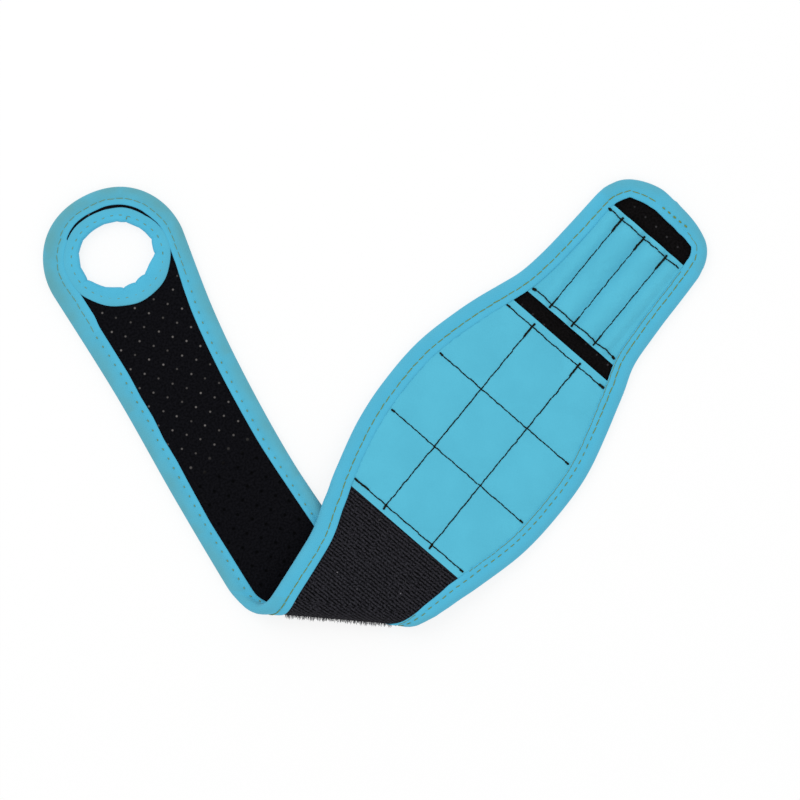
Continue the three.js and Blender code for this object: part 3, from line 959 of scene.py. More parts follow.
class Nodes:
    """A node tree that is filled one node at a time."""

    def __init__(self, tree: bpy.types.NodeTree) -> None:
        """Start with an empty tree."""
        self.tree = tree
        tree.nodes.clear()

    def add(self, kind: str, values: dict | None = None, **settings: object) -> bpy.types.Node:
        """Add a node.

        Args:
            kind: The node's type, without the words that shader nodes' types start with.
            values: What goes into its inputs: a number, a colour or another node's output.
            settings: The node's own settings.

        Returns:
            The node.
        """
        node = self.tree.nodes.new(kind if kind.startswith("NodeGroup") else f"ShaderNode{kind}")
        for name, value in settings.items():
            setattr(node, name, value)
        for name, value in (values or {}).items():
            if isinstance(value, Socket):
                self.tree.links.new(value, node.inputs[name])
            else:
                node.inputs[name].default_value = value
        return node

    def maths(self, operation: str, *values: object) -> Socket:
        """Add a Math node and give its output."""
        return self.add("Math", dict(enumerate(values)), operation=operation).outputs[0]

    def fit(self, value: Socket, factor: float, plus: float = 0.0) -> Socket:
        """Multiply a value by a factor and add to it."""
        return self.maths("MULTIPLY_ADD", value, factor, plus)

    def vector(self, operation: str, *values: object) -> Socket:
        """Add a Vector Math node and give its output."""
        return self.add("VectorMath", dict(enumerate(values)), operation=operation).outputs[0]

    def split(self, place: Socket) -> bpy.types.NodeOutputs:
        """Split a place into its three numbers."""
        return self.add("SeparateXYZ", {0: place}).outputs

    def noise(self, place: Socket, scale: object, detail: float = 3.0, output: int = 0, **more: float) -> Socket:
        """Add a noise texture and give its number, or its colour as output 1."""
        return self.add("TexNoise", {"Vector": place, "Scale": scale, "Detail": detail, **more}).outputs[output]

    def mix(self, share: object, first: object, second: object) -> Socket:
        """Mix two colours and give the result."""
        return self.add("Mix", {0: share, 6: first, 7: second}, data_type="RGBA").outputs[2]

    def ramp(self, value: object, low: object, high: object) -> Socket:
        """Rise smoothly from 0 to 1 between two values."""
        return self.add("MapRange", {"Value": value, "From Min": low, "From Max": high},
                        interpolation_type="SMOOTHSTEP").outputs[0]

    def group(self, tree: bpy.types.NodeTree, place: Socket, **values: float) -> bpy.types.NodeOutputs:
        """Use a shared effect at places and give its outputs."""
        return self.add("Group", {"Place": place, **values}, node_tree=tree).outputs

    def looked_at(self) -> Socket:
        """Tell rays that reach the camera, straight or in a gloss, from those that only carry light."""
        path = self.add("LightPath").outputs
        return self.maths("MAXIMUM", path["Is Camera Ray"], path["Is Glossy Ray"])


class Effects:
    """Shader groups that several finishes share."""

    def __init__(self) -> None:
        """Build every group once."""
        self.weave = self._group("cloth_weave", {"Threads": 2.0, "Slub": 0.3}, ["Height", "Shade"], self._weave)
        self.mottle = self._group("cloth_mottle", {"Patch": 0.05}, ["Patches", "Lint"], self._mottle)

    @staticmethod
    def _group(name: str, numbers: dict[str, float], outputs: list[str],
               fill: Callable[[Nodes, bpy.types.NodeOutputs], list[Socket]]) -> bpy.types.NodeTree:
        """Build a group that works on places.

        Args:
            name: The group's name.
            numbers: First value of each number input.
            outputs: Names of the number outputs.
            fill: Adds the nodes between the inputs and the outputs.

        Returns:
            The group.
        """
        tree = bpy.data.node_groups.new(name, "ShaderNodeTree")
        nodes = Nodes(tree)
        tree.interface.new_socket("Place", in_out="INPUT", socket_type="NodeSocketVector")
        for label, value in numbers.items():
            socket = tree.interface.new_socket(label, in_out="INPUT", socket_type="NodeSocketFloat")
            socket.default_value = value
        for label in outputs:
            tree.interface.new_socket(label, in_out="OUTPUT", socket_type="NodeSocketFloat")
        made = fill(nodes, nodes.add("NodeGroupInput").outputs)
        nodes.add("NodeGroupOutput", dict(zip(outputs, made)))
        return tree

    @staticmethod
    def _weave(nodes: Nodes, given: bpy.types.NodeOutputs) -> list[Socket]:
        """Make a plain weave: threads that pass over and under each other.

        Args:
            nodes: The group's nodes.
            given: What goes into the group.

        Returns:
            Height and shade.
        """
        place = given["Place"]
        shift = nodes.vector("MULTIPLY", nodes.noise(place, 0.35, 2.0, output=1), given["Slub"])
        axes = nodes.split(nodes.vector("ADD", place, shift))
        waves = [nodes.maths("SINE", nodes.fit(nodes.maths("MULTIPLY", axes[axis], given["Threads"]), math.pi))
                 for axis in (0, 1)]
        height = nodes.fit(nodes.maths("MULTIPLY", *waves), 0.5, 0.5)
        shade = nodes.maths("ADD", nodes.fit(height, 0.5), nodes.fit(nodes.noise(place, 2.2), 0.5))
        return [height, shade]

    @staticmethod
    def _mottle(nodes: Nodes, given: bpy.types.NodeOutputs) -> list[Socket]:
        """Make broad soft patches, as dye and handling leave on cloth, with fine lint over them.

        Args:
            nodes: The group's nodes.
            given: What goes into the group.

        Returns:
            Patches and lint.
        """
        broad = nodes.noise(given["Place"], given["Patch"])
        fine = nodes.add("TexVoronoi", {"Vector": given["Place"], "Scale": 0.16}).outputs
        near = nodes.ramp(fine["Distance"], 0.075, 0.02)
        rare = nodes.ramp(nodes.add("SeparateColor", {0: fine["Color"]}).outputs[0], 0.80, 0.86)
        return [broad, nodes.maths("MULTIPLY", near, rare)]


@dataclass(frozen=True)
class Finish:
    """A finish of one surface: its colours and how it takes light."""

    name: str
    colour: Colour
    second: Colour
    roughness: float = 0.85
    sheen: float = 0.15
    threads: float = 1.9
    relief: float = 0.25
    gloss: float = 0.2

    def make(self, effects: Effects) -> Material:
        """Build the material.

        Args:
            effects: The shared groups.

        Returns:
            The material.
        """
        material = bpy.data.materials.new(self.name)
        material.use_nodes = True
        material.diffuse_color = self.colour
        nodes = Nodes(material.node_tree)
        layout = nodes.add("UVMap", uv_map=PATTERN).outputs[0]
        place = nodes.vector("MULTIPLY", layout, (1 / UV_PER_MM,) * 3)
        values = {"Roughness": self.roughness, "Sheen Weight": self.sheen, "Sheen Roughness": 0.5,
                  "Specular IOR Level": self.gloss, **self.paint(nodes, place, effects)}
        nodes.add("OutputMaterial", {0: nodes.add("BsdfPrincipled", values).outputs[0]})
        return material

    def paint(self, nodes: Nodes, place: Socket, effects: Effects) -> dict[str, object]:
        """Give the values and outputs that go into the shader, by the names of its inputs."""
        raise NotImplementedError

    def bump(self, nodes: Nodes, height: Socket, distance: float) -> Socket:
        """Turn a height of 0 to 1, which stands for a distance in millimetres, into relief."""
        return nodes.add("Bump", {"Height": height, "Strength": self.relief, "Distance": distance * MM}).outputs[0]


@dataclass(frozen=True)
class ClothFinish(Finish):
    """Woven cloth or tape in one dye."""

    def paint(self, nodes: Nodes, place: Socket, effects: Effects) -> dict[str, object]:
        """Dye the weave in soft patches.

        Args:
            nodes: The material's nodes.
            place: Place on the flat layout.
            effects: The shared groups.

        Returns:
            What goes into the shader.
        """
        weave = nodes.group(effects.weave, place, Threads=self.threads)
        patches = nodes.ramp(nodes.group(effects.mottle, place)["Patches"], 0.3, 0.7)
        share = nodes.maths("ADD", nodes.fit(weave["Shade"], 0.55), nodes.fit(patches, 0.45))
        dye = nodes.mix(share, self.second, self.colour)
        return {"Base Color": self.add_edge_shade(nodes, place, dye), "Normal": self.bump(nodes, weave["Height"], 0.15)}

    def add_edge_shade(self, nodes: Nodes, place: Socket, dye: Socket) -> Socket:
        """Leave the dye as it is, with no painted shade on any edge."""
        return dye


@dataclass(frozen=True)
class TapeFinish(ClothFinish):
    """Folded tape with painted grey shade along its rolled outer edge."""

    # Colour of the painted shade on the tape's rolled outer edge.
    edge_shade_colour: Colour = linear(90, 160, 172)

    def add_edge_shade(self, nodes: Nodes, place: Socket, dye: Socket) -> Socket:
        """Paint grey shade into the dye, in soft patches, towards the fold of the tape, its rolled outer edge, which
        lies along the middle of its layout.

        Args:
            nodes: The material's nodes.
            place: Place on the flat layout.
            dye: The dye.

        Returns:
            The dye with the painted shade.
        """
        # How much painted shade this part of the tape gets, read from the mesh.
        edge_shade = nodes.add("Attribute", attribute_name="edge_shade").outputs["Fac"]
        edge = nodes.ramp(nodes.maths("ABSOLUTE", nodes.split(place)[0]), nodes.fit(edge_shade, 6.0, 6.5), 3.0)
        patch = nodes.ramp(nodes.noise(place, 0.07), 0.0, 0.7)
        share = nodes.maths("MULTIPLY", edge_shade, nodes.maths("MULTIPLY", edge, patch))
        return nodes.mix(share, dye, self.edge_shade_colour)


@dataclass(frozen=True)
class LiningFinish(Finish):
    """Black foam-backed cloth with rows of small air holes."""

    sheen: float = 0.0
    gloss: float = 0.03
    pitch: float = 7.4
    turn: float = 49.4
    hole: float = 0.56
    corner: Pair = (0.158, 0.307)
    # Colours of the painted light and of the painted shade in the holes, and the rows over which the one gives way
    # to the other.
    pale: Colour = linear(116, 112, 110)
    deep: Colour = linear(3, 3, 4)
    hole_light_from: float = -117.0
    hole_light_to: float = -103.0

    def paint(self, nodes: Nodes, place: Socket, effects: Effects) -> dict[str, object]:
        """Punch the holes into the cloth, with painted light in them from a row upward, where the floor would show
        through, and painted shade in them below it.

        Args:
            nodes: The material's nodes.
            place: Place on the flat layout.
            effects: The shared groups.

        Returns:
            What goes into the shader.
        """
        weave = nodes.group(effects.weave, place, Threads=self.threads)
        lattice = nodes.add("Mapping", {"Vector": place, "Location": (*self.corner, 0.0),
                                        "Rotation": (0.0, 0.0, math.radians(self.turn)),
                                        "Scale": (1 / self.pitch, 1 / self.pitch, 1.0)}).outputs[0]
        axes = nodes.split(lattice)
        chance = nodes.add("TexWhiteNoise", {"Vector": nodes.vector("FLOOR", lattice)}, noise_dimensions="2D")
        shifts = nodes.add("SeparateColor", {0: chance.outputs["Color"]}).outputs
        squares = []
        for axis in (0, 1):
            centre = nodes.fit(nodes.maths("SUBTRACT", shifts[axis], 0.5), 0.05, 0.5)
            away = nodes.maths("SUBTRACT", nodes.maths("FRACT", axes[axis]), centre)
            squares.append(nodes.maths("MULTIPLY", away, away))
        away = nodes.fit(nodes.maths("SQRT", nodes.maths("ADD", *squares)), self.pitch)
        # Holes from this row upward get painted light, holes below it get painted shade.
        seen = nodes.ramp(nodes.split(place)[1], self.hole_light_from, self.hole_light_to)
        wide = nodes.fit(seen, self.hole * -0.7, self.hole * 1.7)
        hole = nodes.ramp(nodes.maths("DIVIDE", away, wide), 1.3, 0.4)
        # Each hole's painted light has a brightness of its own.
        light = nodes.maths("MULTIPLY", seen, nodes.fit(shifts[2], 0.65, 0.3))
        mark = nodes.mix(light, self.deep, self.pale)
        cloth = nodes.mix(nodes.ramp(nodes.noise(place, 0.9), 0.33, 0.67), self.second, self.colour)
        height = nodes.maths("SUBTRACT", nodes.fit(weave["Height"], 0.2), hole)
        return {"Base Color": nodes.mix(hole, cloth, mark), "Normal": self.bump(nodes, height, 0.5)}


@dataclass(frozen=True)
class LoopFinish(Finish):
    """Black loop fabric in fine ribs, with a little lint."""

    rib: float = 1.7
    # Colour of the painted shade in the grooves between the ribs.
    deep: Colour = linear(3, 3, 4)
    lint: Colour = linear(120, 118, 122)

    def paint(self, nodes: Nodes, place: Socket, effects: Effects) -> dict[str, object]:
        """Raise the pile between broken grooves, which are darkened with painted shade.

        Args:
            nodes: The material's nodes.
            place: Place on the flat layout.
            effects: The shared groups.

        Returns:
            What goes into the shader.
        """
        lint = nodes.group(effects.mottle, place)["Lint"]
        bent = nodes.maths("ADD", nodes.split(place)[1], nodes.fit(nodes.noise(place, 0.4), 0.9))
        wave = nodes.maths("SINE", nodes.fit(bent, 2 * math.pi / self.rib))
        stretch = nodes.add("Mapping", {"Vector": place, "Scale": (0.85, 1.2, 1.0)}).outputs[0]
        dashes = nodes.ramp(nodes.noise(stretch, 1.0, 2.0), 0.32, 0.56)
        groove = nodes.maths("MULTIPLY", nodes.ramp(wave, 0.35, -0.65), dashes)
        pile = nodes.noise(place, 1.3, 4.0, Roughness=0.65)
        height = nodes.maths("SUBTRACT", nodes.fit(pile, 0.5, 0.5), nodes.fit(groove, 0.9))
        tuft = nodes.mix(nodes.ramp(pile, 0.34, 0.66), self.second, self.colour)
        # Painted shade in the grooves.
        cloth = nodes.mix(groove, tuft, self.deep)
        return {"Base Color": nodes.mix(lint, cloth, self.lint), "Normal": self.bump(nodes, height, 0.5)}


@dataclass(frozen=True)
class ThreadFinish(Finish):
    """Twisted sewing thread."""

    roughness: float = 0.7
    sheen: float = 0.0
    gloss: float = 0.1

    def paint(self, nodes: Nodes, place: Socket, effects: Effects) -> dict[str, object]:
        """Vary the dye with the twist."""
        twist = nodes.noise(place, 2.5, 2.0)
        return {"Base Color": nodes.mix(twist, self.second, self.colour), "Normal": self.bump(nodes, twist, 0.1)}


@dataclass(frozen=True)
class MagnetFinish(Finish):
    """Nickel plate on the magnets inside the cells."""

    def paint(self, nodes: Nodes, place: Socket, effects: Effects) -> dict[str, object]:
        """Cloud the plate a little, by the place on the solid."""
        cloud = nodes.noise(nodes.add("TexCoord").outputs["Object"], 400.0)
        return {"Base Color": nodes.mix(cloud, self.second, self.colour), "Metallic": 1.0,
                "Roughness": nodes.fit(cloud, 0.2, 0.2)}


class Finishes:
    """Every finish of the band, made once."""

    def __init__(self) -> None:
        """Build the materials."""
        effects = Effects()
        self.cloth = ClothFinish("blue_cloth", linear(87, 187, 214), linear(80, 177, 204)).make(effects)
        self.tape = TapeFinish("blue_tape", linear(81, 184, 217), linear(74, 173, 205), sheen=0.12,
                               threads=1.5).make(effects)
        self.lining = LiningFinish("strap_lining", linear(16, 16, 20), linear(7, 7, 10)).make(effects)
        # The panel's lining gets dimmer painted light in its holes.
        self.panel_lining = LiningFinish("panel_lining", linear(17, 15, 16), linear(8, 7, 7),
                                         pale=linear(62, 60, 62), turn=4.0).make(effects)
        self.loop = LoopFinish("black_loop", linear(54, 53, 59), linear(16, 16, 20), roughness=0.95,
                               sheen=0.03, relief=0.8, gloss=0.03).make(effects)
        self.hook = LoopFinish("black_hook", linear(30, 30, 32), linear(14, 14, 15), roughness=0.5,
                               relief=0.6, rib=1.2).make(effects)
        self.dark_thread = ThreadFinish("black_thread", linear(27, 28, 14), linear(9, 10, 5),
                                        gloss=0.06).make(effects)
        self.olive_thread = ThreadFinish("olive_thread", linear(130, 150, 70), linear(102, 120, 46)).make(effects)
        self.faded_thread = ThreadFinish("faded_thread", linear(124, 156, 124), linear(100, 132, 98)).make(effects)
        self.fuzz = ThreadFinish("dark_fuzz", linear(84, 84, 92), linear(30, 30, 34), roughness=0.9, sheen=0.15,
                                 gloss=0.2).make(effects)
        self.magnet = MagnetFinish("nickel_plate", linear(200, 200, 202), linear(170, 170, 174)).make(effects)


@dataclass
class Layer:
    """A layer of the band that is laid out in rows, one piece for each stretch."""

    band: Band
    finishes: Finishes
    kind: str = "layer"
    slot: str = "blue_fabric"
    columns: int = 48
    inset: float = 2.0
    hole_inset: float = 1.6
    ring_columns: int = 10
    ring_steps: int = 120
    least_flat: float = 10.1

    def __post_init__(self) -> None:
        """Take the band's shape."""
        self.shape = self.band.shape

    def sheet(self, name: str, rows: list[Row], onto: Chart, thickness: float,
              depth: Depth) -> tuple[Piece, float, Pair]:
        """Build a sheet of cloth across the band.

        Args:
            name: The piece's name.
            rows: Rows from the thumb ring's end towards the tip.
            onto: Pattern that gives the flat layout.
            thickness: The cloth's thickness.
            depth: Depth of its front at places on a pattern.

        Returns:
            The piece, its flat area in square metres and its flat width and length in metres.
        """
        ends = self.band.line_up(rows, np.array([0.0, 1.0]))
        spans = np.linalg.norm(ends[:, 1] - ends[:, 0], axis=1)
        centre = (ends[:, :1] + ends[:, 1:]) / 2
        wide = self.band.line_up(rows, np.linspace(0.0, 1.0, self.columns + 1))
        wide = centre + (wide - centre) * (1 - 2 * self.inset / spans)[:, None, None]
        lines = [(row.chart, points) for row, points in zip(rows, wide)]
        placed = np.array([self.shape.place(chart, points, depth(chart, points)) for chart, points in lines])
        flat = np.array([self.shape.flat(chart, points, onto) for chart, points in lines])
        piece, column, row = Bench.grid(name, self.columns, len(rows) - 1)
        Bench.cloth(piece, placed[row, column], flat[row, column], thickness)
        along, across = np.diff(flat, axis=0)[:, :-1], np.diff(flat, axis=1)[:-1]
        cells = np.abs(across[..., 0] * along[..., 1] - across[..., 1] * along[..., 0])
        spread = flat.reshape(-1, 2) - flat.reshape(-1, 2).mean(axis=0)
        turned = spread @ np.linalg.svd(spread, full_matrices=False)[2].T
        size = np.maximum(np.ptp(turned, axis=0), self.least_flat) * MM
        return piece, float(cells.sum()) * MM * MM, (float(size[0]), float(size[1]))

    def lay(self, section: Section, rows: list[Row], onto: Chart, depth: Depth, finish: Material, held: str,
            *nodes: str) -> None:
        """Lay a face of cloth on the lining of a stretch.

        Args:
            section: The stretch.
            rows: Rows that the cloth covers.
            onto: Pattern that gives the flat layout.
            depth: Depth of the cloth's front.
            finish: Its material.
            held: Not used.
            nodes: Solids that it stands for, without the segment's name.
        """
        piece, area, flat = self.sheet(f"{self.kind}_{section.name}", rows, onto, self.shape.face, depth)
        Bench.dress(piece, finish)
        section.carry(piece, self.slot, *nodes)

    def on_ring(self, piece: Piece, slot: str, *nodes: str) -> None:
        """Let a piece ride on the thumb ring, and hide the solids that it stands for.

        Args:
            piece: The piece.
            slot: Not used.
            nodes: Solids that it stands for.
        """
        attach(piece, "thumb_loop")
        if nodes:
            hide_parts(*nodes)

    def ring_sheet(self, depth: float, thickness: float, finish: Material, node: str) -> tuple[Piece, float]:
        """Build the sheet of cloth round the thumb hole.

        Args:
            depth: Depth of its front.
            thickness: Its thickness.
            finish: Its material.
            node: Solid that it stands for.

        Returns:
            The piece and its flat area in square metres.
        """
        shape = self.shape
        centre = np.array(shape.hole_place)
        turns = np.radians(np.linspace(0.0, 360.0, self.ring_steps + 1))
        aim = polar(turns)
        rim, inward = shape.strap_rim.sample(shape.strap_rim.lengths)
        inside = rim + inward * self.inset - centre
        angles = np.unwrap(np.arctan2(inside[:, 1], inside[:, 0]))
        reach = np.interp((turns + math.pi / 2) % (2 * math.pi) - math.pi / 2, angles, np.hypot(*inside.T))
        floor = (shape.ring_cut - centre[1]) / np.minimum(aim[:, 1], -1e-6)
        outer = np.where(aim[:, 1] < 0, np.minimum(reach, floor), reach)
        inner = shape.hole_radius(np.degrees(turns)) + self.hole_inset
        piece, column, row = Bench.grid(f"{self.kind}_thumb_ring", self.ring_columns, self.ring_steps)
        radius = inner[row] + (outer - inner)[row] * column / self.ring_columns
        flat = centre + radius[:, None] * aim[row]
        Bench.cloth(piece, shape.place(Chart.STRAP, flat, depth), flat, thickness, ring=True)
        Bench.dress(piece, finish)
        self.on_ring(piece, self.slot, node)
        area = 0.5 * float(np.sum(np.diff(turns) * (outer[1:] ** 2 - inner[1:] ** 2)))
        return piece, area * MM * MM


@dataclass
class Lining(Layer):
    """The perforated foam-backed cloth behind the whole band."""

    kind: str = "lining"
    slot: str = "lining_fabric"
    fill: float = 0.5
    on_strap: tuple[str, ...] = ("thumb_end", "strap", "fold_low", "fold_crest")

    def build(self) -> None:
        """Make the lining of every stretch and of the thumb ring."""
        shape = self.shape
        for section in self.band.sections:
            onto, finish = ((Chart.STRAP, self.finishes.lining) if section.name in self.on_strap
                            else (Chart.PANEL, self.finishes.panel_lining))
            piece, _, _ = self.sheet(f"lining_{section.name}", section.rows, onto, shape.lining,
                                     lambda chart, points: shape.lining_depth)
            Bench.dress(piece, finish)
            section.carry(piece, self.slot, "lining")
        ring, _ = self.ring_sheet(shape.lining_depth, shape.lining, self.finishes.lining, "thumb_loop_lining")


@dataclass
class LoopStrip(Layer):
    """The ribbed loop fabric beside the cells, round the fold and on the strap's front."""

    kind: str = "loop"
    slot: str = "loop_fabric"
    columns: int = 44
    dip: float = 0.5
    dip_before: float = 3.0
    dip_run: float = 2.5
    hem_over: float = 0.5
    on_strap: tuple[str, ...] = ("thumb_end", "strap", "fold_low")
    on_panel: tuple[str, ...] = ("fold_crest", "fold_high", "hem")

    def under_hem(self, chart: Chart, points: Array) -> Array | float:
        """Give the depth of the fabric's front, which dips under the hem of the cells.

        Args:
            chart: The pattern.
            points: Places on it.

        Returns:
            The depths.
        """
        level = self.shape.face_depth
        if chart is Chart.PANEL:
            mark = points[:, 1] + points[:, 0] * self.shape.skew
            level = level + self.dip * ease((mark + self.shape.hem + self.dip_before) / self.dip_run)
        return level

    def build(self) -> None:
        """Make the loop fabric of every stretch up to the cells, and of the thumb ring."""
        for name in self.on_strap + self.on_panel:
            section = self.band.section(name)
            rows = [row for row in section.rows if row.chart is not Chart.PANEL or row.left <= self.hem_over]
            self.lay(section, rows, Chart.STRAP if name in self.on_strap else Chart.PANEL, self.under_hem,
                     self.finishes.loop, "folded" if "fold" in name else "laid",
                     *(() if name == "hem" else ("face",)))
        ring, area = self.ring_sheet(self.shape.face_depth, self.shape.face, self.finishes.loop, "thumb_loop_face")


@dataclass
class SewnCloth:
    """Cloth sewn down along lines, which fills out between them in a cloth simulation.

    It is laid out flat on rows of the panel pattern. The breaks are the places across each row at which the sewn
    lines cross it, and the counts are the faces between them. It is enlarged while it is simulated.
    """

    marks: Array
    breaks: Array
    counts: tuple[int, ...]
    enlarge: float = 10.0
    steps: int = 20
    crown_percent: int = 97
    settings: dict[str, float] = field(default_factory=lambda: {
        "quality": 6, "mass": 0.2, "tension_stiffness": 25.0, "compression_stiffness": 25.0, "shear_stiffness": 10.0,
        "bending_stiffness": 0.3, "use_pressure": True, "uniform_pressure_force": 4.0})

    def __post_init__(self) -> None:
        """Lay the cloth out."""
        self.stops = np.concatenate([[0], np.cumsum(self.counts)])
        columns = np.arange(self.stops[-1] + 1)
        self.x = np.array([np.interp(columns, self.stops, row) for row in self.breaks])
        self.height = np.zeros(self.x.shape)

    def fill(self, start: Array, sewn: Array, fullness: Array, crown: float, slack: float) -> None:
        """Blow the cloth up between its sewn lines.

        Args:
            start: Height of the cloth before it fills out.
            sewn: Where the cloth is held down.
            fullness: Share of the pressure at each place.
            crown: Height that it reaches.
            slack: Share by which the cloth is larger than its place.
        """
        rows, columns = self.x.shape
        piece, column, row = Bench.grid("sewn_cloth", columns - 1, rows - 1)
        Bench.shape(piece, np.stack([self.x[row, column], self.marks[row], start[row, column]], axis=-1)
                    * self.enlarge)
        for name, weights in (("sewn", sewn.astype(float)), ("fullness", fullness)):
            group = piece.vertex_groups.new(name=name)
            for index, weight in enumerate(weights[row, column]):
                group.add([index], float(weight), "REPLACE")
        cloth = piece.modifiers.new("fill", "CLOTH")
        for name, value in self.settings.items():
            setattr(cloth.settings, name, value)
        cloth.settings.vertex_group_mass = "sewn"
        cloth.settings.vertex_group_pressure = "fullness"
        cloth.settings.effector_weights.gravity = 0.0
        cloth.settings.shrink_min = -slack
        cloth.collision_settings.use_collision = False
        cloth.point_cache.frame_end = self.steps
        for step in range(1, self.steps + 1):
            bpy.context.scene.frame_set(step)
        bpy.ops.object.modifier_apply(modifier=cloth.name)
        bpy.context.scene.frame_set(1)
        self.height[row, column] = Bench.corners(piece)[:, 2]
        self.height *= crown / np.percentile(self.height, self.crown_percent)
        bpy.data.objects.remove(piece, do_unlink=True)

    def read(self, x: Array, mark: Array) -> Array:
        """Give the cloth's height at places on the pattern.

        Args:
            x: Places across.
            mark: Rows.

        Returns:
            Heights.
        """
        at = np.clip(np.interp(mark, self.marks, np.arange(len(self.marks))), 0, len(self.marks) - 1.001)
        row = at.astype(int)
        share = at - row
        breaks = self.breaks[row] * (1 - share)[:, None] + self.breaks[row + 1] * share[:, None]
        place = np.array([np.interp(one, line, self.stops) for one, line in zip(x, breaks)])
        column = np.minimum(place.astype(int), self.stops[-1] - 1)
        part = place - column
        level = [self.height[row + step, column] * (1 - part) + self.height[row + step, column + 1] * part
                 for step in (0, 1)]
        return level[0] * (1 - share) + level[1] * share


@dataclass
class SewnPanel(Layer):
    """A panel of blue cloth that is sewn down in lines and rises between them."""

    row_step: float = 0.9
    names: tuple[str, ...] = ()
    faces: tuple[str, ...] = ()
    cloth: SewnCloth | None = None

    def ends(self) -> tuple[float, ...]:
        """Give the rows at which the cloth begins, is cut and ends."""
        raise NotImplementedError

    def formed(self, x: Array, mark: Array) -> Array:
        """Give the cloth's height at places, as it is before it fills out."""
        raise NotImplementedError

    def depth(self, chart: Chart, points: Array) -> Array:
        """Give the depth of the cloth's front."""
        x, mark = points[:, 0], points[:, 1] + points[:, 0] * self.shape.skew
        height = self.formed(x, mark) if self.cloth is None else self.cloth.read(x, mark)
        return self.shape.face_depth - height

    def build(self) -> None:
        """Make the cloth of every stretch that it crosses."""
        ends = self.ends()
        for name, low, high in zip(self.names, ends[:-1], ends[1:]):
            rows = self.band.rows(Chart.PANEL, low, high, self.row_step)
            self.lay(self.band.section(name), rows, Chart.PANEL, self.depth, self.finishes.cloth, "stretched",
                     *(("face",) if name in self.faces else ()))


@dataclass
class CellPanel(SewnPanel):
    """The blue cloth that is quilted into three rows of three cells."""

    kind: str = "cells"
    names: tuple[str, ...] = ("hem", "lower_seam", "upper_seam", "slot")
    faces: tuple[str, ...] = names[:-1]
    columns: int = 150
    row_step: float = 0.8
    crown: float = 1.5
    shoulder: float = 3.2
    grain: float = 1.6
    slack: float = 0.012

    def ends(self) -> tuple[float, ...]:
        """Give the rows at which the cloth begins, is cut and ends."""
        return (-self.shape.hem, *self.band.panel_cuts[:-1], self.shape.cells_end)

    def simulate(self) -> None:
        """Let the cloth fill out between its seams, each cell a little differently."""
        shape = self.shape
        lines = (-shape.hem, *shape.row_lines, shape.cells_end)
        marks = np.concatenate([np.linspace(low, high, math.ceil((high - low) / self.grain) + 1)[:-1]
                                for low, high in zip(lines[:-1], lines[1:])] + [[lines[-1]]])
        edge = shape.half_width(marks) - shape.tape_width + 1.0
        side, middle = (math.ceil(width / self.grain) for width in (edge.max() - shape.column_line,
                                                                    2 * shape.column_line))
        seam = np.full(len(marks), shape.column_line)
        cloth = SewnCloth(marks, np.stack([-edge, -seam, seam, edge], axis=-1), (side, middle, side))
        flat = (marks <= shape.row_lines[0]) | (marks >= shape.row_lines[-1]) | np.isin(marks, shape.row_lines)
        sewn = np.repeat(flat[:, None], cloth.x.shape[1], axis=1)
        sewn[:, cloth.stops] = True
        chance = np.random.default_rng(5)
        fullness = np.ones(cloth.x.shape)
        for low, high in zip(shape.row_lines[:-1], shape.row_lines[1:]):
            for first, last in zip(cloth.stops[:-1], cloth.stops[1:]):
                fullness[np.ix_((marks > low) & (marks < high), range(first, last + 1))] = chance.uniform(0.75, 1.0)
        cloth.fill(np.zeros(cloth.x.shape), sewn, fullness, self.crown, self.slack)
        self.cloth = cloth

    def formed(self, x: Array, mark: Array) -> Array:
        """Give the height of plain cushions between the seams.

        Args:
            x: Places across.
            mark: Rows.

        Returns:
            The heights.
        """
        shape = self.shape
        rows = np.min(np.abs(mark[:, None] - np.array(shape.row_lines)), axis=1)
        inside = (mark > shape.row_lines[0]) & (mark < shape.row_lines[-1])
        columns = np.abs(np.abs(x) - shape.column_line)
        edge = shape.half_width(mark) - shape.tape_width - np.abs(x)
        swell = np.ones(len(x))
        for away in (rows, columns, np.maximum(edge, 0.0)):
            swell *= 1 - np.exp(-((away / self.shoulder) ** 1.4))
        return self.crown * swell * inside


@dataclass
class ChannelPanel(SewnPanel):
    """The blue cloth that is sewn down in lines, so that it arches into four open channels."""

    kind: str = "channels"
    names: tuple[str, ...] = ("slot", "tip")
    faces: tuple[str, ...] = names[:1]
    columns: int = 120
    seams: tuple[float, ...] = (-23.2, -14.4, 0.0, 14.4, 23.2)
    arch: float = 3.3
    wide: float = 6.7
    land: float = 0.5
    grain: float = 1.5
    slack: float = 0.01
    pressure: float = 0.3

    def ends(self) -> tuple[float, ...]:
        """Give the rows at which the cloth begins, is cut and ends."""
        return (self.shape.channel_start, self.band.panel_cuts[-1], self.shape.channel_hem)

    def simulate(self) -> None:
        """Let the arches settle between the sewn lines."""
        shape = self.shape
        marks = np.linspace(shape.channel_start, shape.channel_hem,
                            math.ceil((shape.channel_hem - shape.channel_start) / self.grain) + 1)
        edge = shape.half_width(marks) - self.inset
        breaks = np.column_stack([-edge, *(np.full(len(marks), seam) for seam in self.seams), edge])
        counts = tuple(math.ceil(width / self.grain) for width in np.diff(breaks[0]))
        cloth = SewnCloth(marks, breaks, counts)
        sewn = np.abs(cloth.x) >= self.seams[-1]
        sewn[:, cloth.stops] = True
        cloth.fill(self.formed(cloth.x, marks), sewn, np.full(cloth.x.shape, self.pressure), self.arch, self.slack)
        self.cloth = cloth

    def formed(self, x: Array, mark: Array) -> Array:
        """Give the height of plain arches, which are the same at every row.

        Args:
            x: Places across.
            mark: Rows.

        Returns:
            The heights.
        """
        rise = np.zeros(x.shape)
        for start, stop in zip(self.seams[:-1], self.seams[1:]):
            half = (stop - start) / 2 - self.land
            share = np.clip(np.abs(x - (start + stop) / 2) / half, 0.0, 1.0)
            rise = np.maximum(rise, self.arch * min(1.0, half / self.wide) * (1 - share**2))
        return rise


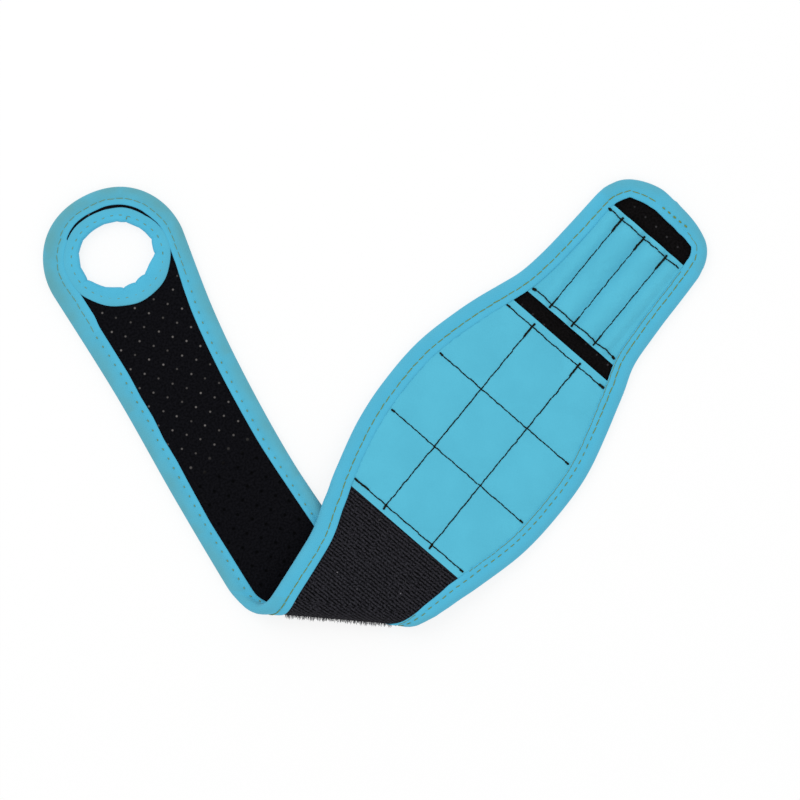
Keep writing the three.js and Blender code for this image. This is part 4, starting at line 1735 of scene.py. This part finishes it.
@dataclass(frozen=True)
class Spot:
    """A place on the band's edge, with the direction inward and how the tape lies there.

    The tape may be wider than usual, stands out where its end laps over, and has more painted grey shade along its
    outer edge on the strap.
    """

    chart: Chart
    point: Array
    toward: Array
    added: float = 0.0
    lap: float = 0.0
    edge_shade: float = 1.0


@dataclass
class EdgeTape(Layer):
    """The folded blue tape that binds the band's edge."""

    slot: str = "blue_tape"
    # The front half of the section, from the tape's lip to the band's edge, by distance from that edge and depth.
    profile: Marks = (
        (9.75, 1.0), (9.85, 0.7), (9.6, 0.42), (9.0, 0.3), (8.0, 0.26), (7.2, 0.34), (6.45, 0.6), (5.7, 0.36),
        (4.7, 0.14), (3.6, 0.03), (2.5, 0.12), (1.5, 0.55), (0.65, 1.35), (0.15, 2.2), (0.0, 2.85))
    inner: Marks = ((9.7, 4.72), (1.1, 4.6), (1.1, 1.1), (9.7, 0.98))
    crescent: float = 2.0
    crescent_from: float = 44.0
    crescent_to: float = 161.0
    nudges: dict[Chart, float] = field(default_factory=lambda: {
        Chart.STRAP: 0.5, Chart.FOLD: 0.05, Chart.PANEL: 0.5})
    evening: int = 24
    join_place: float = 0.4
    join_proud: float = 0.5
    join_run: float = 8.0
    # What is added to the usual width, by row of each edge, and by place across the band round the tip.
    widths: dict[tuple[Chart, Side], Marks] = field(default_factory=lambda: {
        (Chart.STRAP, Side.LEFT): ((-174, 0.4), (-150, 0.0), (-138, -0.3), (-126, 0.0), (-102, 0.6), (-90, 0.1),
                                   (-78, 0.8), (-66, 0.5), (-54, 1.1), (-27, 1.2)),
        (Chart.STRAP, Side.RIGHT): ((-140, -0.9), (-128, -0.5), (-116, 0.0), (-80, 0.4), (-44, 0.4), (-32, 0.0),
                                    (-20, -0.7)),
        (Chart.FOLD, Side.LEFT): ((0.0, 0.9), (1.5, 2.3), (3.0, 0.4)),
        (Chart.FOLD, Side.RIGHT): ((0.0, -2.3), (0.9, -1.5), (1.6, 0.2), (3.0, -0.9)),
        (Chart.PANEL, Side.LEFT): ((-35, 0.9), (-12, 0.5), (5, 0.3), (20, 0.6), (110, 0.6), (130, 0.0), (170, 0.0)),
        (Chart.PANEL, Side.RIGHT): ((-26, -2.3), (-22, -2.2), (-18, -1.5), (-12, -0.6), (5, 0.0), (120, 0.0),
                                    (140, -0.2)),
    })
    tip_widths: Marks = (
        (-33, 0.0), (-26.5, -0.15), (-23.6, -0.8), (-20, 0.0), (-16, 0.3), (-8, 0.9), (-3, 0.4), (3, 0.3),
        (9.5, 0.0), (13.7, 0.05), (17.9, -0.8), (21.9, -1.3), (25.6, -2.0), (31, -1.35), (33.4, -0.4))
    # How much painted grey shade the tape's outer edge gets on each pattern, round the tip and round the thumb ring.
    edge_shades: dict[Chart, float] = field(default_factory=lambda: {
        Chart.STRAP: 0.8, Chart.FOLD: 0.5, Chart.PANEL: 0.2})
    tip_edge_shade: float = 0.5
    tip_run: float = 4.0
    ring_edge_shade: float = 1.0
    ring_run: float = 30.0
    end_step: float = 1.4
    overlap: float = 0.45

    def width_added(self, chart: Chart, side: Side, mark: float) -> float:
        """Give how much wider than its usual width the tape was sewn on at a row of an edge."""
        marks, added = zip(*self.widths[chart, side])
        return float(np.interp(mark, marks, added))

    def section_of_tape(self) -> Array:
        """Give the tape's closed section as widths from the edge and depths from the front."""
        front = np.array(self.profile)
        return np.vstack([front, self.shape.turned_over(front), self.inner, front[:1]])

    def spots(self, section: Section, side: Side) -> list[Spot]:
        """Give the places on an edge along a stretch.

        Args:
            section: The stretch.
            side: The edge.

        Returns:
            The places.
        """
        found = []
        for row, slant in zip(section.rows, section.slants()):
            points, inward = self.shape.edge(row.chart, side, row.at(side))
            toward = inward[0] + (self.along_row(row, side) - inward[0]) * slant
            found.append(Spot(row.chart, points[0], toward, self.width_added(row.chart, side, row.at(side)),
                              edge_shade=self.edge_shades[row.chart]))
        return found

    def along_row(self, row: Row, side: Side) -> Array:
        """Give a direction along a row in from an edge, as long as it takes to get one millimetre from the edge.

        Args:
            row: The row.
            side: The edge.

        Returns:
            The direction.
        """
        shape = self.shape
        other = Side.RIGHT if side is Side.LEFT else Side.LEFT
        near = row.at(side) + self.nudges[row.chart] * np.array([0.0, -1.0, 1.0])
        rim = shape.edge(row.chart, side, near)[0]
        across = unit(shape.edge(row.chart, other, row.at(other))[0][0] - rim[0])
        placed = shape.place(row.chart, np.vstack([rim, rim[0] + across]), 0.0)
        inward, ahead = placed[3] - placed[0], unit(placed[2] - placed[1])
        return across / np.linalg.norm(np.cross(inward, ahead))

    def round_end(self, rim: Rim, mark: float) -> tuple[Array, Array]:
        """Give the places round an end of the band, from a row on the right to the same row on the left."""
        start, stop = rim.where(Side.RIGHT, mark), rim.where(Side.LEFT, mark)
        return rim.sample(np.linspace(start, stop, math.ceil((stop - start) / self.end_step)))

    def tip_spots(self) -> list[Spot]:
        """Give the places round the tip, where the tape's two ends lap over in the middle.

        Returns:
            The places.
        """
        points, inward = self.round_end(self.shape.panel_rim, self.band.panel_cuts[3])
        places, widths = zip(*self.tip_widths)
        found = []
        for point, toward in zip(points, inward):
            side = Side.RIGHT if point[0] > 0 else Side.LEFT
            usual = self.width_added(Chart.PANEL, side, float(point[1]))
            share = float(ease((point[1] - self.shape.channel_hem) / self.tip_run))
            run = point[0] - self.join_place
            lap = self.join_proud * math.exp(-run / self.join_run) if run > 0 else 0.0
            edge_shade = self.edge_shades[Chart.PANEL] * (1 - share) + self.tip_edge_shade * share
            added = usual + (float(np.interp(point[0], places, widths)) - usual) * share
            found.append(Spot(Chart.PANEL, point, toward, added, lap * share, edge_shade))
        return found

    def ring_spots(self) -> list[Spot]:
        """Give the places round the thumb ring.

        Returns:
            The places.
        """
        points, inward = self.round_end(self.shape.strap_rim, self.shape.ring_cut)
        found = []
        for point, toward in zip(points, inward):
            share = float(ease((point[1] - self.shape.ring_cut) / self.ring_run))
            edge_shade = self.edge_shades[Chart.STRAP] * (1 - share) + self.ring_edge_shade * share
            found.append(Spot(Chart.STRAP, point, toward, self.ring_added(point), edge_shade=edge_shade))
        return found

    def ring_added(self, point: Array) -> float:
        """Find how much wider than usual the tape lies on the thumb ring, where it meets the facing.

        Args:
            point: Place on the ring's edge.

        Returns:
            What is added to the tape's width.
        """
        shape = self.shape
        away = point - np.array(shape.hole_place)
        turn = math.degrees(math.atan2(away[1], away[0]))
        room = float(np.hypot(*away) - shape.facing_radius(np.array([turn]))[0]) + self.overlap - shape.tape_width
        turn = (turn + shape.strap_angle - 90 + 90) % 360 - 90
        share = (turn - self.crescent_from) / (self.crescent_to - self.crescent_from)
        gap = self.crescent * math.sin(math.pi * min(max(share, 0.0), 1.0)) ** 0.18
        side = Side.RIGHT if point[0] > 0 else Side.LEFT
        usual = self.width_added(Chart.STRAP, side, min(float(point[1]), -20.0))
        start, run, most = (shape.ring_cut, 8.0, 0.9) if side is Side.LEFT else (4.0, 10.0, 0.6)
        wider = most * float(ease((point[1] - start) / run))
        return min(room - gap, usual + wider)

    def lie(self, spot: Spot, width: Array, depth: Array) -> Array:
        """Place part of the tape's section at a spot.

        Args:
            spot: The place on the edge.
            width: Distances from the edge on the usual section.
            depth: Depths from the front on the usual section.

        Returns:
            Places in space.
        """
        half = self.shape.thick / 2
        reach = width * (1 + (spot.added + spot.lap) / self.shape.tape_width) - spot.lap
        level = half + (depth - half) * (1 + spot.lap / half)
        return self.shape.place(spot.chart, spot.point + reach[:, None] * spot.toward, level)

    def sweep(self, name: str, spots: list[Spot]) -> Piece:
        """Args:
            name: The piece's name.
            spots: The places.

        Returns:
            The piece.
        """
        section = self.section_of_tape()
        girth = run_along(section)
        placed = np.array([self.lie(spot, *section.T) for spot in spots])
        if any(spot.chart is Chart.FOLD for spot in spots):
            for _ in range(self.evening):
                placed[1:-1] += 0.25 * np.diff(placed, 2, axis=0)
        middle = len(self.profile) - 1
        run = run_along(placed[:, middle])
        piece, column, row = Bench.grid(name, len(section) - 1, len(spots) - 1)
        Bench.tape(piece, placed[row, column], np.stack([girth[column] - girth[middle], run[row]], axis=-1),
                   np.array([spot.edge_shade for spot in spots])[row], caps=True)
        Bench.dress(piece, self.finishes.tape)
        return piece

    def build(self) -> None:
        """Make the tape of both edges of every stretch, and round the tip and the thumb ring."""
        *others, tip = self.band.sections
        for section in others:
            for side in Side:
                piece = self.sweep(f"tape_{section.name}_{side.value}", self.spots(section, side))
                section.carry(piece, self.slot, f"binding_{side.value}")
        tip.carry(self.sweep("tape_tip", self.tip_spots()), self.slot, "binding")
        self.on_ring(self.sweep("tape_thumb_ring", self.ring_spots()), self.slot, "thumb_loop_binding")


@dataclass
class ThumbHole(Layer):
    """The puckered facing of folded tape round the thumb hole."""

    # Angle and depth of each pleat, then half of the section from its outer edge to the hole.
    pleats: Marks = (
        (4, 0.9), (26, 0.9), (52, 0.2), (75, 0.5), (90, 0.4), (112, 0.2), (155, 0.5), (176, 0.4), (197, 0.4),
        (219, 1.1), (250, 0.2), (282, 1.0), (305, 0.8), (327, 0.9))
    half: Marks = (
        (1.0, 4.78), (1.0, 5.2), (0.96, 5.45), (0.85, 5.52), (0.62, 5.5), (0.46, 5.32), (0.34, 5.55), (0.22, 5.68),
        (0.12, 5.55), (0.05, 5.05), (0.01, 4.2), (0.0, 2.85))
    inside: Marks = ((1.0, 1.0), (0.16, 1.1), (0.16, 4.6), (1.0, 4.7))
    slot: str = "blue_tape"
    steps: int = 360
    spread: float = 4.0
    draw: float = 0.7
    waver: float = 0.25
    # How much painted grey shade the facing gets near its outer edge.
    edge_shade: float = 0.35
    breadth: float = 7.5
    ring_radius: float = 21.0
    flat_size: Pair = (0.0195, 0.132)

    def pleat(self, turns: Array) -> Array:
        """Give how deep the nearest pleat is at angles in degrees on the strap pattern."""
        pleats = np.array(self.pleats)
        away = np.abs((turns[:, None] + self.shape.strap_angle - 90 - pleats[:, 0] + 180) % 360 - 180)
        return np.max(pleats[:, 1] * np.exp(-away / self.spread), axis=1)

    def build(self) -> None:
        """Make the facing, which is drawn in between its pleats."""
        shape = self.shape
        turns = np.linspace(0.0, 360.0, self.steps + 1)
        angles = np.radians(turns)
        pleat = self.pleat(turns)
        inner = shape.hole_radius(turns) + pleat
        outer = shape.facing_radius(turns) + self.waver * np.sin(angles * 7) * np.sin(np.radians(turns * 3 + 40))
        back = np.array(self.half)
        section = np.vstack([back, shape.turned_over(back), self.inside, back[:1]])
        piece, column, row = Bench.grid("thumb_hole_facing", len(section) - 1, self.steps)
        share, height = section[column].T
        radius = inner[row] + (outer - inner)[row] * share
        pucker = self.draw * pleat[row] * np.clip(1 - share / 0.75, 0.0, 1.0)
        off = height - shape.thick / 2
        height = height - pucker * np.sign(off) * (np.abs(off) > 2.0)
        flat = np.array(shape.hole_place) + radius[:, None] * polar(angles[row])
        girth = run_along(section * (self.breadth, 1.0))
        layout = np.stack([girth[column] + 3.0, angles[row] * self.ring_radius], axis=-1)
        Bench.tape(piece, shape.place(Chart.STRAP, flat, height), layout, np.full(len(row), self.edge_shade), caps=False)
        Bench.dress(piece, self.finishes.tape)
        self.on_ring(piece, self.slot, "thumb_hole_binding")


@dataclass
class Thread(Layer):
    """The olive topstitch on the tape and the black quilting lines."""

    stitch_in: float = 6.45
    behind_in: float = 7.05
    behind_run: float = 25.0
    edge_in: float = 9.2
    # Pitch, length and half thickness of each kind of stitch.
    dash: Stitch = (4.3, 4.0, 0.26)
    short_dash: Stitch = (4.2, 2.5, 0.24)
    hairline: Stitch = (2.6, 2.7, 0.14)
    dot: Stitch = (5.5, 1.25, 0.33)
    facing_dot: Stitch = (4.4, 1.7, 0.26)
    ring_dash: Stitch = (4.4, 3.7, 0.2)
    tack: Stitch = (3.3, 1.7, 0.45)
    tack_row: float = 203.8
    tail: tuple[float, float, float] = (75.6, 18.2, 21.0)
    # Places round the tip at which one kind of stitch stops and another starts.
    restart: tuple[float, ...] = (-7.0, -3.2, 15.5, 29.5)
    quilt: Stitch = (2.5, 2.85, 0.36)
    bar: Stitch = (1.1, 1.4, 0.6)
    knot: Stitch = (0.9, 1.4, 0.78)
    # Lengths and ends of the quilting lines, their bars and their knots.
    line_in: float = 1.2
    bar_run: float = 2.2
    corner_run: float = 9.0
    knot_run: float = 3.0
    columns_from: float = -2.4
    columns_to: float = 118.0
    column_bars: Pair = (0.6, 109.5)
    channel_lines: Pair = (2.7, -3.0)
    channel_knot: float = 1.6
    channel_over: Pair = (2.0, 1.4)
    channel_bars: Pair = (4.5, 7.5)
    proud: float = 0.05
    arched_proud: float = 0.25
    bar_proud: float = 0.3
    slot: str = "blue_tape"
    facing_in: float = 3.9
    facing_sunk: float = 0.42
    tail_sunk: float = 0.2
    facing_steps: int = 180
    aim: float = 0.6
    wobble: float = 0.15
    scallop: float = 0.5

    def __post_init__(self) -> None:
        """Model the bead that every stitch is a copy of."""
        super().__post_init__()
        self.bead = Bench.bead()
        self.chance = np.random.default_rng(7)

    def stitches(self, path: Array, normals: Array, kind: Stitch) -> tuple[Array, Array, Array]:
        """Lay stitches along a line.

        Args:
            path: Places along the line.
            normals: Directions away from the cloth.
            kind: Pitch, length and half thickness of a stitch.

        Returns:
            Centres, axes and sizes of the stitches.
        """
        pitch, length, half = kind
        run = run_along(path)
        count = max(1, round(run[-1] / pitch))
        at = (np.arange(count) + 0.5) * run[-1] / count
        along = unit(read_along(at + self.aim, run, path) - read_along(at - self.aim, run, path))
        out = read_along(at, run, normals)
        out = unit(out - along * np.sum(out * along, axis=1, keepdims=True))
        side = np.cross(out, along)
        turn = self.chance.normal(0.0, 0.05, count)[:, None]
        along, side = along * np.cos(turn) + side * np.sin(turn), side * np.cos(turn) - along * np.sin(turn)
        drift = self.chance.normal(0.0, 0.07, count)[:, None]
        sizes = np.tile([length / 2, half, half], (count, 1)) * self.chance.uniform(0.9, 1.08, (count, 1))
        return read_along(at, run, path) + side * drift, np.stack([along, side, out], axis=1), sizes

    def sew(self, name: str, lines: list[tuple[Array, Array, Array]], finish: Material) -> Piece:
        """Make one piece of thread from the stitches of several lines."""
        return Bench.copies(name, finish, self.bead, *(np.concatenate(part) for part in zip(*lines)))

    def rim_line(self, tape: EdgeTape, spots: list[Spot], across: Array | float,
                 toward_front: bool) -> tuple[Array, Array]:
        """Give a line along an edge.

        Args:
            tape: The edge tape.
            spots: Places on the edge.
            across: Distances in from the edge on the usual section.
            toward_front: Whether the line is sewn on the front.

        Returns:
            Places along the line and the directions away from the cloth.
        """
        across = np.broadcast_to(across, len(spots))
        level, lift = np.interp(across, *np.array(tape.profile)[:1:-1].T) - 0.1, -0.5
        if not toward_front:
            level, lift = self.shape.thick - level, -lift
        ends = np.array([tape.lie(spot, np.full(2, width), np.array([sunk, sunk + lift]))
                         for spot, width, sunk in zip(spots, across, level)])
        return ends[:, 0], unit(ends[:, 1] - ends[:, 0])

    def in_behind(self, spots: list[Spot]) -> Array:
        """Give how far in from the edge the stitches behind lie, less on the thumb ring than on the strap."""
        past = [self.behind_run if spot.chart is not Chart.STRAP else self.shape.ring_cut - spot.point[1]
                for spot in spots]
        return self.stitch_in + (self.behind_in - self.stitch_in) * ease(np.array(past) / self.behind_run)

    def front_lines(self, name: str, edges: list[list[Spot]]) -> list[tuple]:
        """List the lines sewn on the front of a stretch.

        Args:
            name: The stretch's name.
            edges: Places on each edge.

        Returns:
            The places, distances in from the edge and kind of stitch of each line.
        """
        last = edges[-1]
        on_right = last[-1].chart is Chart.PANEL and last[0].point[0] > 0
        by_cells = on_right and last[0].point[1] < 90
        lines = [(spots, self.stitch_in, self.short_dash if by_cells and spots is last else self.dash)
                 for spots in edges]
        if name == "tip":
            stop, start, end, again = self.restart
            picks = [[spot for spot in last if low < spot.point[0] < high]
                     for low, high in ((-math.inf, stop), (end, again), (again, math.inf), (start, end))]
            kinds = (self.dash, self.hairline, self.dash)
            lines = [(spots, self.stitch_in, kind) for spots, kind in zip(picks, kinds)]
            tacked = picks[-1]
            reach = [(self.tack_row - spot.point[1]) / spot.toward[1] for spot in tacked]
            across = [(far + spot.lap) / (1 + (spot.added + spot.lap) / self.shape.tape_width)
                      for far, spot in zip(reach, tacked)]
            lines.append((tacked, np.array(across), self.tack))
        hem = [spot for spot in last if on_right and spot.point[0] > 20 and -2 < spot.point[1] < 186]
        if len(hem) > 1:
            lines.append((hem, self.edge_in, self.hairline))
        return lines

    def topstitch(self, name: str, tape: EdgeTape, edges: list[list[Spot]], behind: Stitch) -> list[Piece]:
        """Sew the tape of a stretch, in front and behind.

        Args:
            name: The stretch's name.
            tape: The edge tape.
            edges: Places on each edge.
            behind: Pitch, length and half thickness of the stitches behind.

        Returns:
            The thread in front and the thread behind.
        """
        rows = (("front", self.front_lines(name, edges), self.finishes.olive_thread),
                ("back", [(spots, self.in_behind(spots), behind) for spots in edges], self.finishes.faded_thread))
        return [self.sew(f"topstitch_{face}_{name}",
                         [self.stitches(*self.rim_line(tape, spots, across, face == "front"), kind)
                          for spots, across, kind in lines], finish) for face, lines, finish in rows]

    def build(self, tape: EdgeTape, cells: CellPanel, channels: ChannelPanel) -> None:
        """Sew the tape, the facing, the cells and the channels.

        Args:
            tape: The edge tape.
            cells: The cell panel.
            channels: The channel panel.
        """
        for section in self.band.sections:
            edges = [tape.tip_spots()] if section.name == "tip" else [tape.spots(section, side) for side in Side]
            for piece in self.topstitch(section.name, tape, edges, self.dot):
                section.carry(piece, self.slot)
        for piece in self.topstitch("thumb_ring", tape, [tape.ring_spots()], self.ring_dash):
            self.on_ring(piece, self.slot)
        self.facing_stitch()
        self.quilting(cells, channels)

    def facing_stitch(self) -> None:
        """Sew the facing round the thumb hole, with the tail of its thread."""
        shape = self.shape
        centre = np.array(shape.hole_place)
        turns = np.linspace(0.0, 360.0, self.facing_steps + 1)
        radius = shape.facing_radius(turns) - self.facing_in
        flat = centre + radius[:, None] * polar(np.radians(turns))
        turn, low, high = self.tail
        tail = centre + np.array([[low], [high]]) * heading(turn - shape.strap_angle + 90)
        lines = []
        for points, depth, sign, kind in ((flat, shape.thick - self.facing_sunk, 1.0, self.facing_dot),
                                          (flat, self.facing_sunk, -1.0, self.dash),
                                          (tail, shape.thick - self.tail_sunk, 1.0, self.facing_dot)):
            normals = np.tile([0.0, 0.0, sign], (len(points), 1))
            lines.append(self.stitches(shape.place(Chart.STRAP, points, depth), normals, kind))
        self.on_ring(self.sew("topstitch_thumb_hole", lines, self.finishes.faded_thread), self.slot)

    def panel_line(self, points: Array, depth: Depth, proud: float) -> tuple[Array, Array]:
        """Give a sewn line on the panel and the directions away from the cloth.

        Args:
            points: Places on the panel pattern.
            depth: Depth of the cloth's front.
            proud: How far the thread's middle stands off the cloth.

        Returns:
            Places along the line and the directions.
        """
        level = depth(Chart.PANEL, points) - proud
        path, above = (self.shape.place(Chart.PANEL, points, level - lift) for lift in (0.0, 0.5))
        return path, unit(above - path)

    def wander(self, phase: Array) -> Array:
        """Give how far a line sewn by hand strays to the side, at places along it."""
        return self.wobble * (np.sin(phase * 0.62) + 0.7 * np.sin(phase * 1.37 + 1.0)) / 1.7

    def quilting(self, cells: CellPanel, channels: ChannelPanel) -> None:
        """Sew the black lines and their bartacks on the cells and the channels.

        Args:
            cells: The cell panel.
            channels: The channel panel.
        """
        shape = self.shape
        thin, bar, knot = self.quilt, self.bar, self.knot
        lines = []

        def run(start: Pair, stop: Pair, kind: Stitch, layer: SewnPanel,
                proud: float = self.proud) -> None:
            """Add a line between two places given by width and row."""
            count = max(3, math.ceil(math.dist(start, stop)))
            x, mark = np.linspace(start, stop, count).T
            if start[1] == stop[1]:
                mark = mark + self.wander(x + 7 * mark)
                if layer is channels:
                    share = 1.0 if start[1] < 150 else 0.4
                    mark = mark + share * self.scallop * np.sin(math.pi * x / channels.seams[-2]) ** 2
            else:
                x = x + self.wander(mark + 5 * x)
            path, normals = self.panel_line(shape.on_row(x, mark), layer.depth, proud)
            parts = self.stitches(path, normals, kind)
            lines.append((np.linspace(start[1], stop[1], len(parts[0])), parts))

        def half_line(mark: float) -> float:
            """Give half the length of a line across the panel."""
            return float(shape.half_width(mark)[0]) - shape.tape_width - self.line_in

        for mark in shape.row_lines:
            half = half_line(mark)
            run((-half, mark), (half, mark), thin, cells)
            for end in (-1, 1):
                run((end * half, mark), (end * (half - self.bar_run), mark), bar, cells)
            if mark == shape.row_lines[0]:
                run((-half, mark), (self.corner_run - half, mark), bar, cells)
            if mark == shape.row_lines[-1]:
                run((half - self.knot_run, mark), (half, mark), knot, cells)
        for x in (-shape.column_line, shape.column_line):
            first, last = (x, self.columns_from), (x, self.columns_to)
            run(first, last, thin, cells)
            run(first, (x, self.column_bars[0]), bar, cells)
            run((x, self.column_bars[1]), last, bar, cells)
        low, high = shape.channel_start + self.channel_lines[0], shape.channel_hem + self.channel_lines[1]
        for mark in (low, high):
            half = half_line(mark)
            run((-half, mark), (half, mark), thin, channels, self.arched_proud)
            for end in (-1, 1) if mark == low else (-1,):
                run((end * half, mark), (end * (half - self.channel_knot), mark), knot, channels)
        before, after = low - self.channel_over[0], high + self.channel_over[1]
        for x in channels.seams[1:3]:
            run((x, before), (x, before + 1.0), knot, channels)
        for x in channels.seams[1:-1]:
            run((x, before), (x, after), thin, channels)
            run((x, before), (x, low + self.channel_bars[0]), bar, channels)
            run((x, high - self.channel_bars[1]), (x, after), bar, channels, self.bar_proud)
        cuts = (-math.inf, *self.band.panel_cuts, math.inf)
        for name, first, last in zip(("hem", "lower_seam", "upper_seam", "slot", "tip"), cuts[:-1], cuts[1:]):
            picked = [[part[(marks >= first) & (marks < last)] for part in parts] for marks, parts in lines]
            self.band.section(name).carry(self.sew(f"quilting_{name}", picked, self.finishes.dark_thread),
                                          "loop_fabric")


@dataclass
class HookTape(Layer):
    """The hook tape under the channels and the tip, which closes on the loop strip."""

    start: float = 142.0
    stop: float = 199.3
    half: float = 21.0
    pitch: float = 2.3
    columns: int = 24
    rows: int = 36
    thickness: float = 0.6
    tape_in: float = 0.95
    hooks_in: float = 0.28
    hook: tuple[float, float, float] = (0.35, 0.3, 0.3)

    def build(self) -> None:
        """Make the tape with its rows of small hooks."""
        shape = self.shape
        section = self.band.section("tip")
        piece, column, row = Bench.grid("hook_tape", self.columns, self.rows)
        mark = self.start + (self.stop - self.start) * row / self.rows
        points = shape.on_row((column / self.columns * 2 - 1) * self.reach(mark), mark)
        Bench.cloth(piece, shape.place(Chart.PANEL, points, shape.thick - self.tape_in), points, self.thickness)
        Bench.dress(piece, self.finishes.hook)
        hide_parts("hook_patch", "tip_hook_patch")
        spots = []
        for number, mark in enumerate(np.arange(self.start + 1.5, self.stop - 1.0, self.pitch)):
            reach = float(self.reach(mark)[0]) - 1.0
            shift = (number % 2) * self.pitch / 2
            x = np.arange(-reach + shift, reach, self.pitch)
            spots.append(shape.on_row(x, np.full(len(x), mark)))
        centres = shape.place(Chart.PANEL, np.vstack(spots), shape.thick - self.hooks_in)
        count = len(centres)
        hooks = Bench.copies("hooks", self.finishes.hook, Bench.bead(), centres, np.tile(np.eye(3), (count, 1, 1)),
                             np.tile(self.hook, (count, 1)))
        for made in (piece, hooks):
            section.carry(made, "hook_tape")

    def reach(self, mark: Array) -> Array:
        """Give the tape's half width at rows, inside the edge tape."""
        return np.minimum(self.half, self.shape.half_width(mark) - self.shape.tape_width - 0.5)


@dataclass
class LoopFuzz(Layer):
    """Loose fibres in clumps along the outer line of the fold, where the loop fabric is worn."""

    count: int = 2600
    clumps: int = 96
    thick: float = 0.045
    lengths: Pair = (0.9, 2.6)
    span: Pair = (-23.3, 29.4)

    def build(self) -> None:
        """Make the fibres as fine tapered strands."""
        shape = self.shape
        count = self.count
        chance = np.random.default_rng(11)
        roots = np.linspace(*self.span, self.clumps) + chance.uniform(-0.14, 0.14, self.clumps)
        clump = chance.integers(0, self.clumps, count)
        along = roots[clump] + chance.normal(0.0, 0.1, count)
        length = chance.uniform(*self.lengths, self.clumps)[clump] * chance.uniform(0.6, 1.0, count)
        turns = math.pi / 2 + shape.fold_lean + chance.normal(0.0, 0.1, count)
        base = shape.on_fold(along, turns, shape.face_depth + 0.1)
        tip = shape.on_fold(along + chance.normal(0.0, 0.12, count), turns + chance.normal(0.0, 0.06, count),
                            shape.face_depth - length)
        axis = unit(tip - base)
        side = unit(np.cross(axis, np.tile([0.3, 0.2, 1.0], (count, 1))))
        frames = np.stack([axis, side, np.cross(axis, side)], axis=1)
        corners = np.array([(0, 1, 0), (0, -0.5, 0.87), (0, -0.5, -0.87), (1, 0, 0)], dtype=float)
        faces = [(0, 2, 1), (0, 1, 3), (1, 2, 3), (2, 0, 3)]
        sizes = np.full((count, 3), self.thick)
        sizes[:, 0] = np.linalg.norm(tip - base, axis=1)
        piece = Bench.copies("loop_fuzz", self.finishes.fuzz, (corners, faces), base, frames, sizes)
        self.band.section("fold_crest").carry(piece, "loop_fabric")


@dataclass
class Studio:
    """Camera straight above the band, pale floor and soft light."""

    lens: float = 200.0
    sensor: float = 36.0
    field_mm: float = 400.0
    centre: tuple[float, float, float] = (12.05, 0.81, 3.0)
    key_power: float = 8.6
    sky: float = 0.84
    white: Colour = (1.0, 1.0, 1.0, 1.0)

    def build_camera(self) -> None:
        """Hang the camera over the band."""
        data = bpy.data.cameras.new("overhead")
        data.lens = self.lens
        data.sensor_width = self.sensor
        data.sensor_fit = "HORIZONTAL"
        data.clip_end = 50.0
        camera = bpy.data.objects.new("overhead", data)
        bpy.context.collection.objects.link(camera)
        distance = self.field_mm * self.lens / self.sensor
        camera.location = (self.centre[0] * MM, self.centre[1] * MM, (self.centre[2] + distance) * MM)
        bpy.context.scene.camera = camera
        bpy.context.scene.view_settings.view_transform = "Standard"

    def build_floor(self) -> None:
        """Lay the pale floor, which keeps the band's shadow."""
        Bench.pick()
        bpy.ops.mesh.primitive_plane_add(size=12.0)
        floor = bpy.context.object
        floor.name = "floor"
        material = bpy.data.materials.new("pale_floor")
        material.use_nodes = True
        nodes = Nodes(material.node_tree)
        lit = nodes.add("BsdfDiffuse", {"Color": (0.95, 0.95, 0.95, 1.0)}).outputs[0]
        glow = nodes.add("Emission", {"Color": self.white, "Strength": 1.0}).outputs[0]
        mixed = nodes.add("MixShader", {0: nodes.fit(nodes.looked_at(), 0.8), 1: lit, 2: glow})
        nodes.add("OutputMaterial", {0: mixed.outputs[0]})
        Bench.dress(floor, material)

    def build_light(self) -> None:
        """Hang a broad soft lamp and fill the room with even light."""
        for name, place, size, power in (("key", (-0.9, 0.9, 1.5), 1.4, self.key_power),
                                         ("fill", (1.2, -0.6, 1.4), 1.6, self.key_power * 0.4)):
            data = bpy.data.lights.new(name, "AREA")
            data.shape = "DISK"
            data.size = size
            data.energy = power
            lamp = bpy.data.objects.new(name, data)
            bpy.context.collection.objects.link(lamp)
            lamp.location = place
            away = math.hypot(place[0], place[1])
            lamp.rotation_euler = (0.0, math.atan2(away, place[2]), math.atan2(place[1], place[0]))
        world = bpy.data.worlds.new("room")
        bpy.context.scene.world = world
        world.use_nodes = True
        nodes = Nodes(world.node_tree)
        even, bright = (nodes.add("Background", {"Color": self.white, "Strength": strength}).outputs[0]
                        for strength in (self.sky, 1.0))
        mixed = nodes.add("MixShader", {0: nodes.looked_at(), 1: even, 2: bright})
        nodes.add("OutputWorld", {0: mixed.outputs[0]})


def find_origin() -> Array:
    """Find the panel's origin from the joint on its first seam."""
    joint = next(entry for entry in frame["joints"] if entry["name"] == "lower_seam_bend")
    seam = np.array(joint["pos_m"][:2]) / MM
    return seam - BandShape.row_lines[1] * heading(BandShape.panel_angle)


def main() -> None:
    """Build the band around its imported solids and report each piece."""
    logging.basicConfig(level=logging.INFO, format="%(message)s")
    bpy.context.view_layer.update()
    studio = Studio()
    studio.build_camera()
    band = Band(BandShape(find_origin()))
    finishes = Finishes()
    cells = CellPanel(band, finishes)
    channels = ChannelPanel(band, finishes)
    tape = EdgeTape(band, finishes)
    hole = ThumbHole(band, finishes)
    Lining(band, finishes).build()
    LoopStrip(band, finishes).build()
    cells.simulate()
    channels.simulate()
    cells.build()
    channels.build()
    tape.build()
    hole.build()
    Thread(band, finishes).build(tape, cells, channels)
    HookTape(band, finishes).build()
    LoopFuzz(band, finishes).build()
    for name, node in frame["nodes"].items():
        if "magnet" in name:
            Bench.dress(node, finishes.magnet)
    for piece in bpy.context.scene.objects:
        if piece.type == "MESH" and piece not in frame["nodes"].values():
            LOG.info("%s: %d faces", piece.name, len(piece.data.polygons))
    studio.build_floor()
    studio.build_light()


if __name__ == "__main__":
    main()
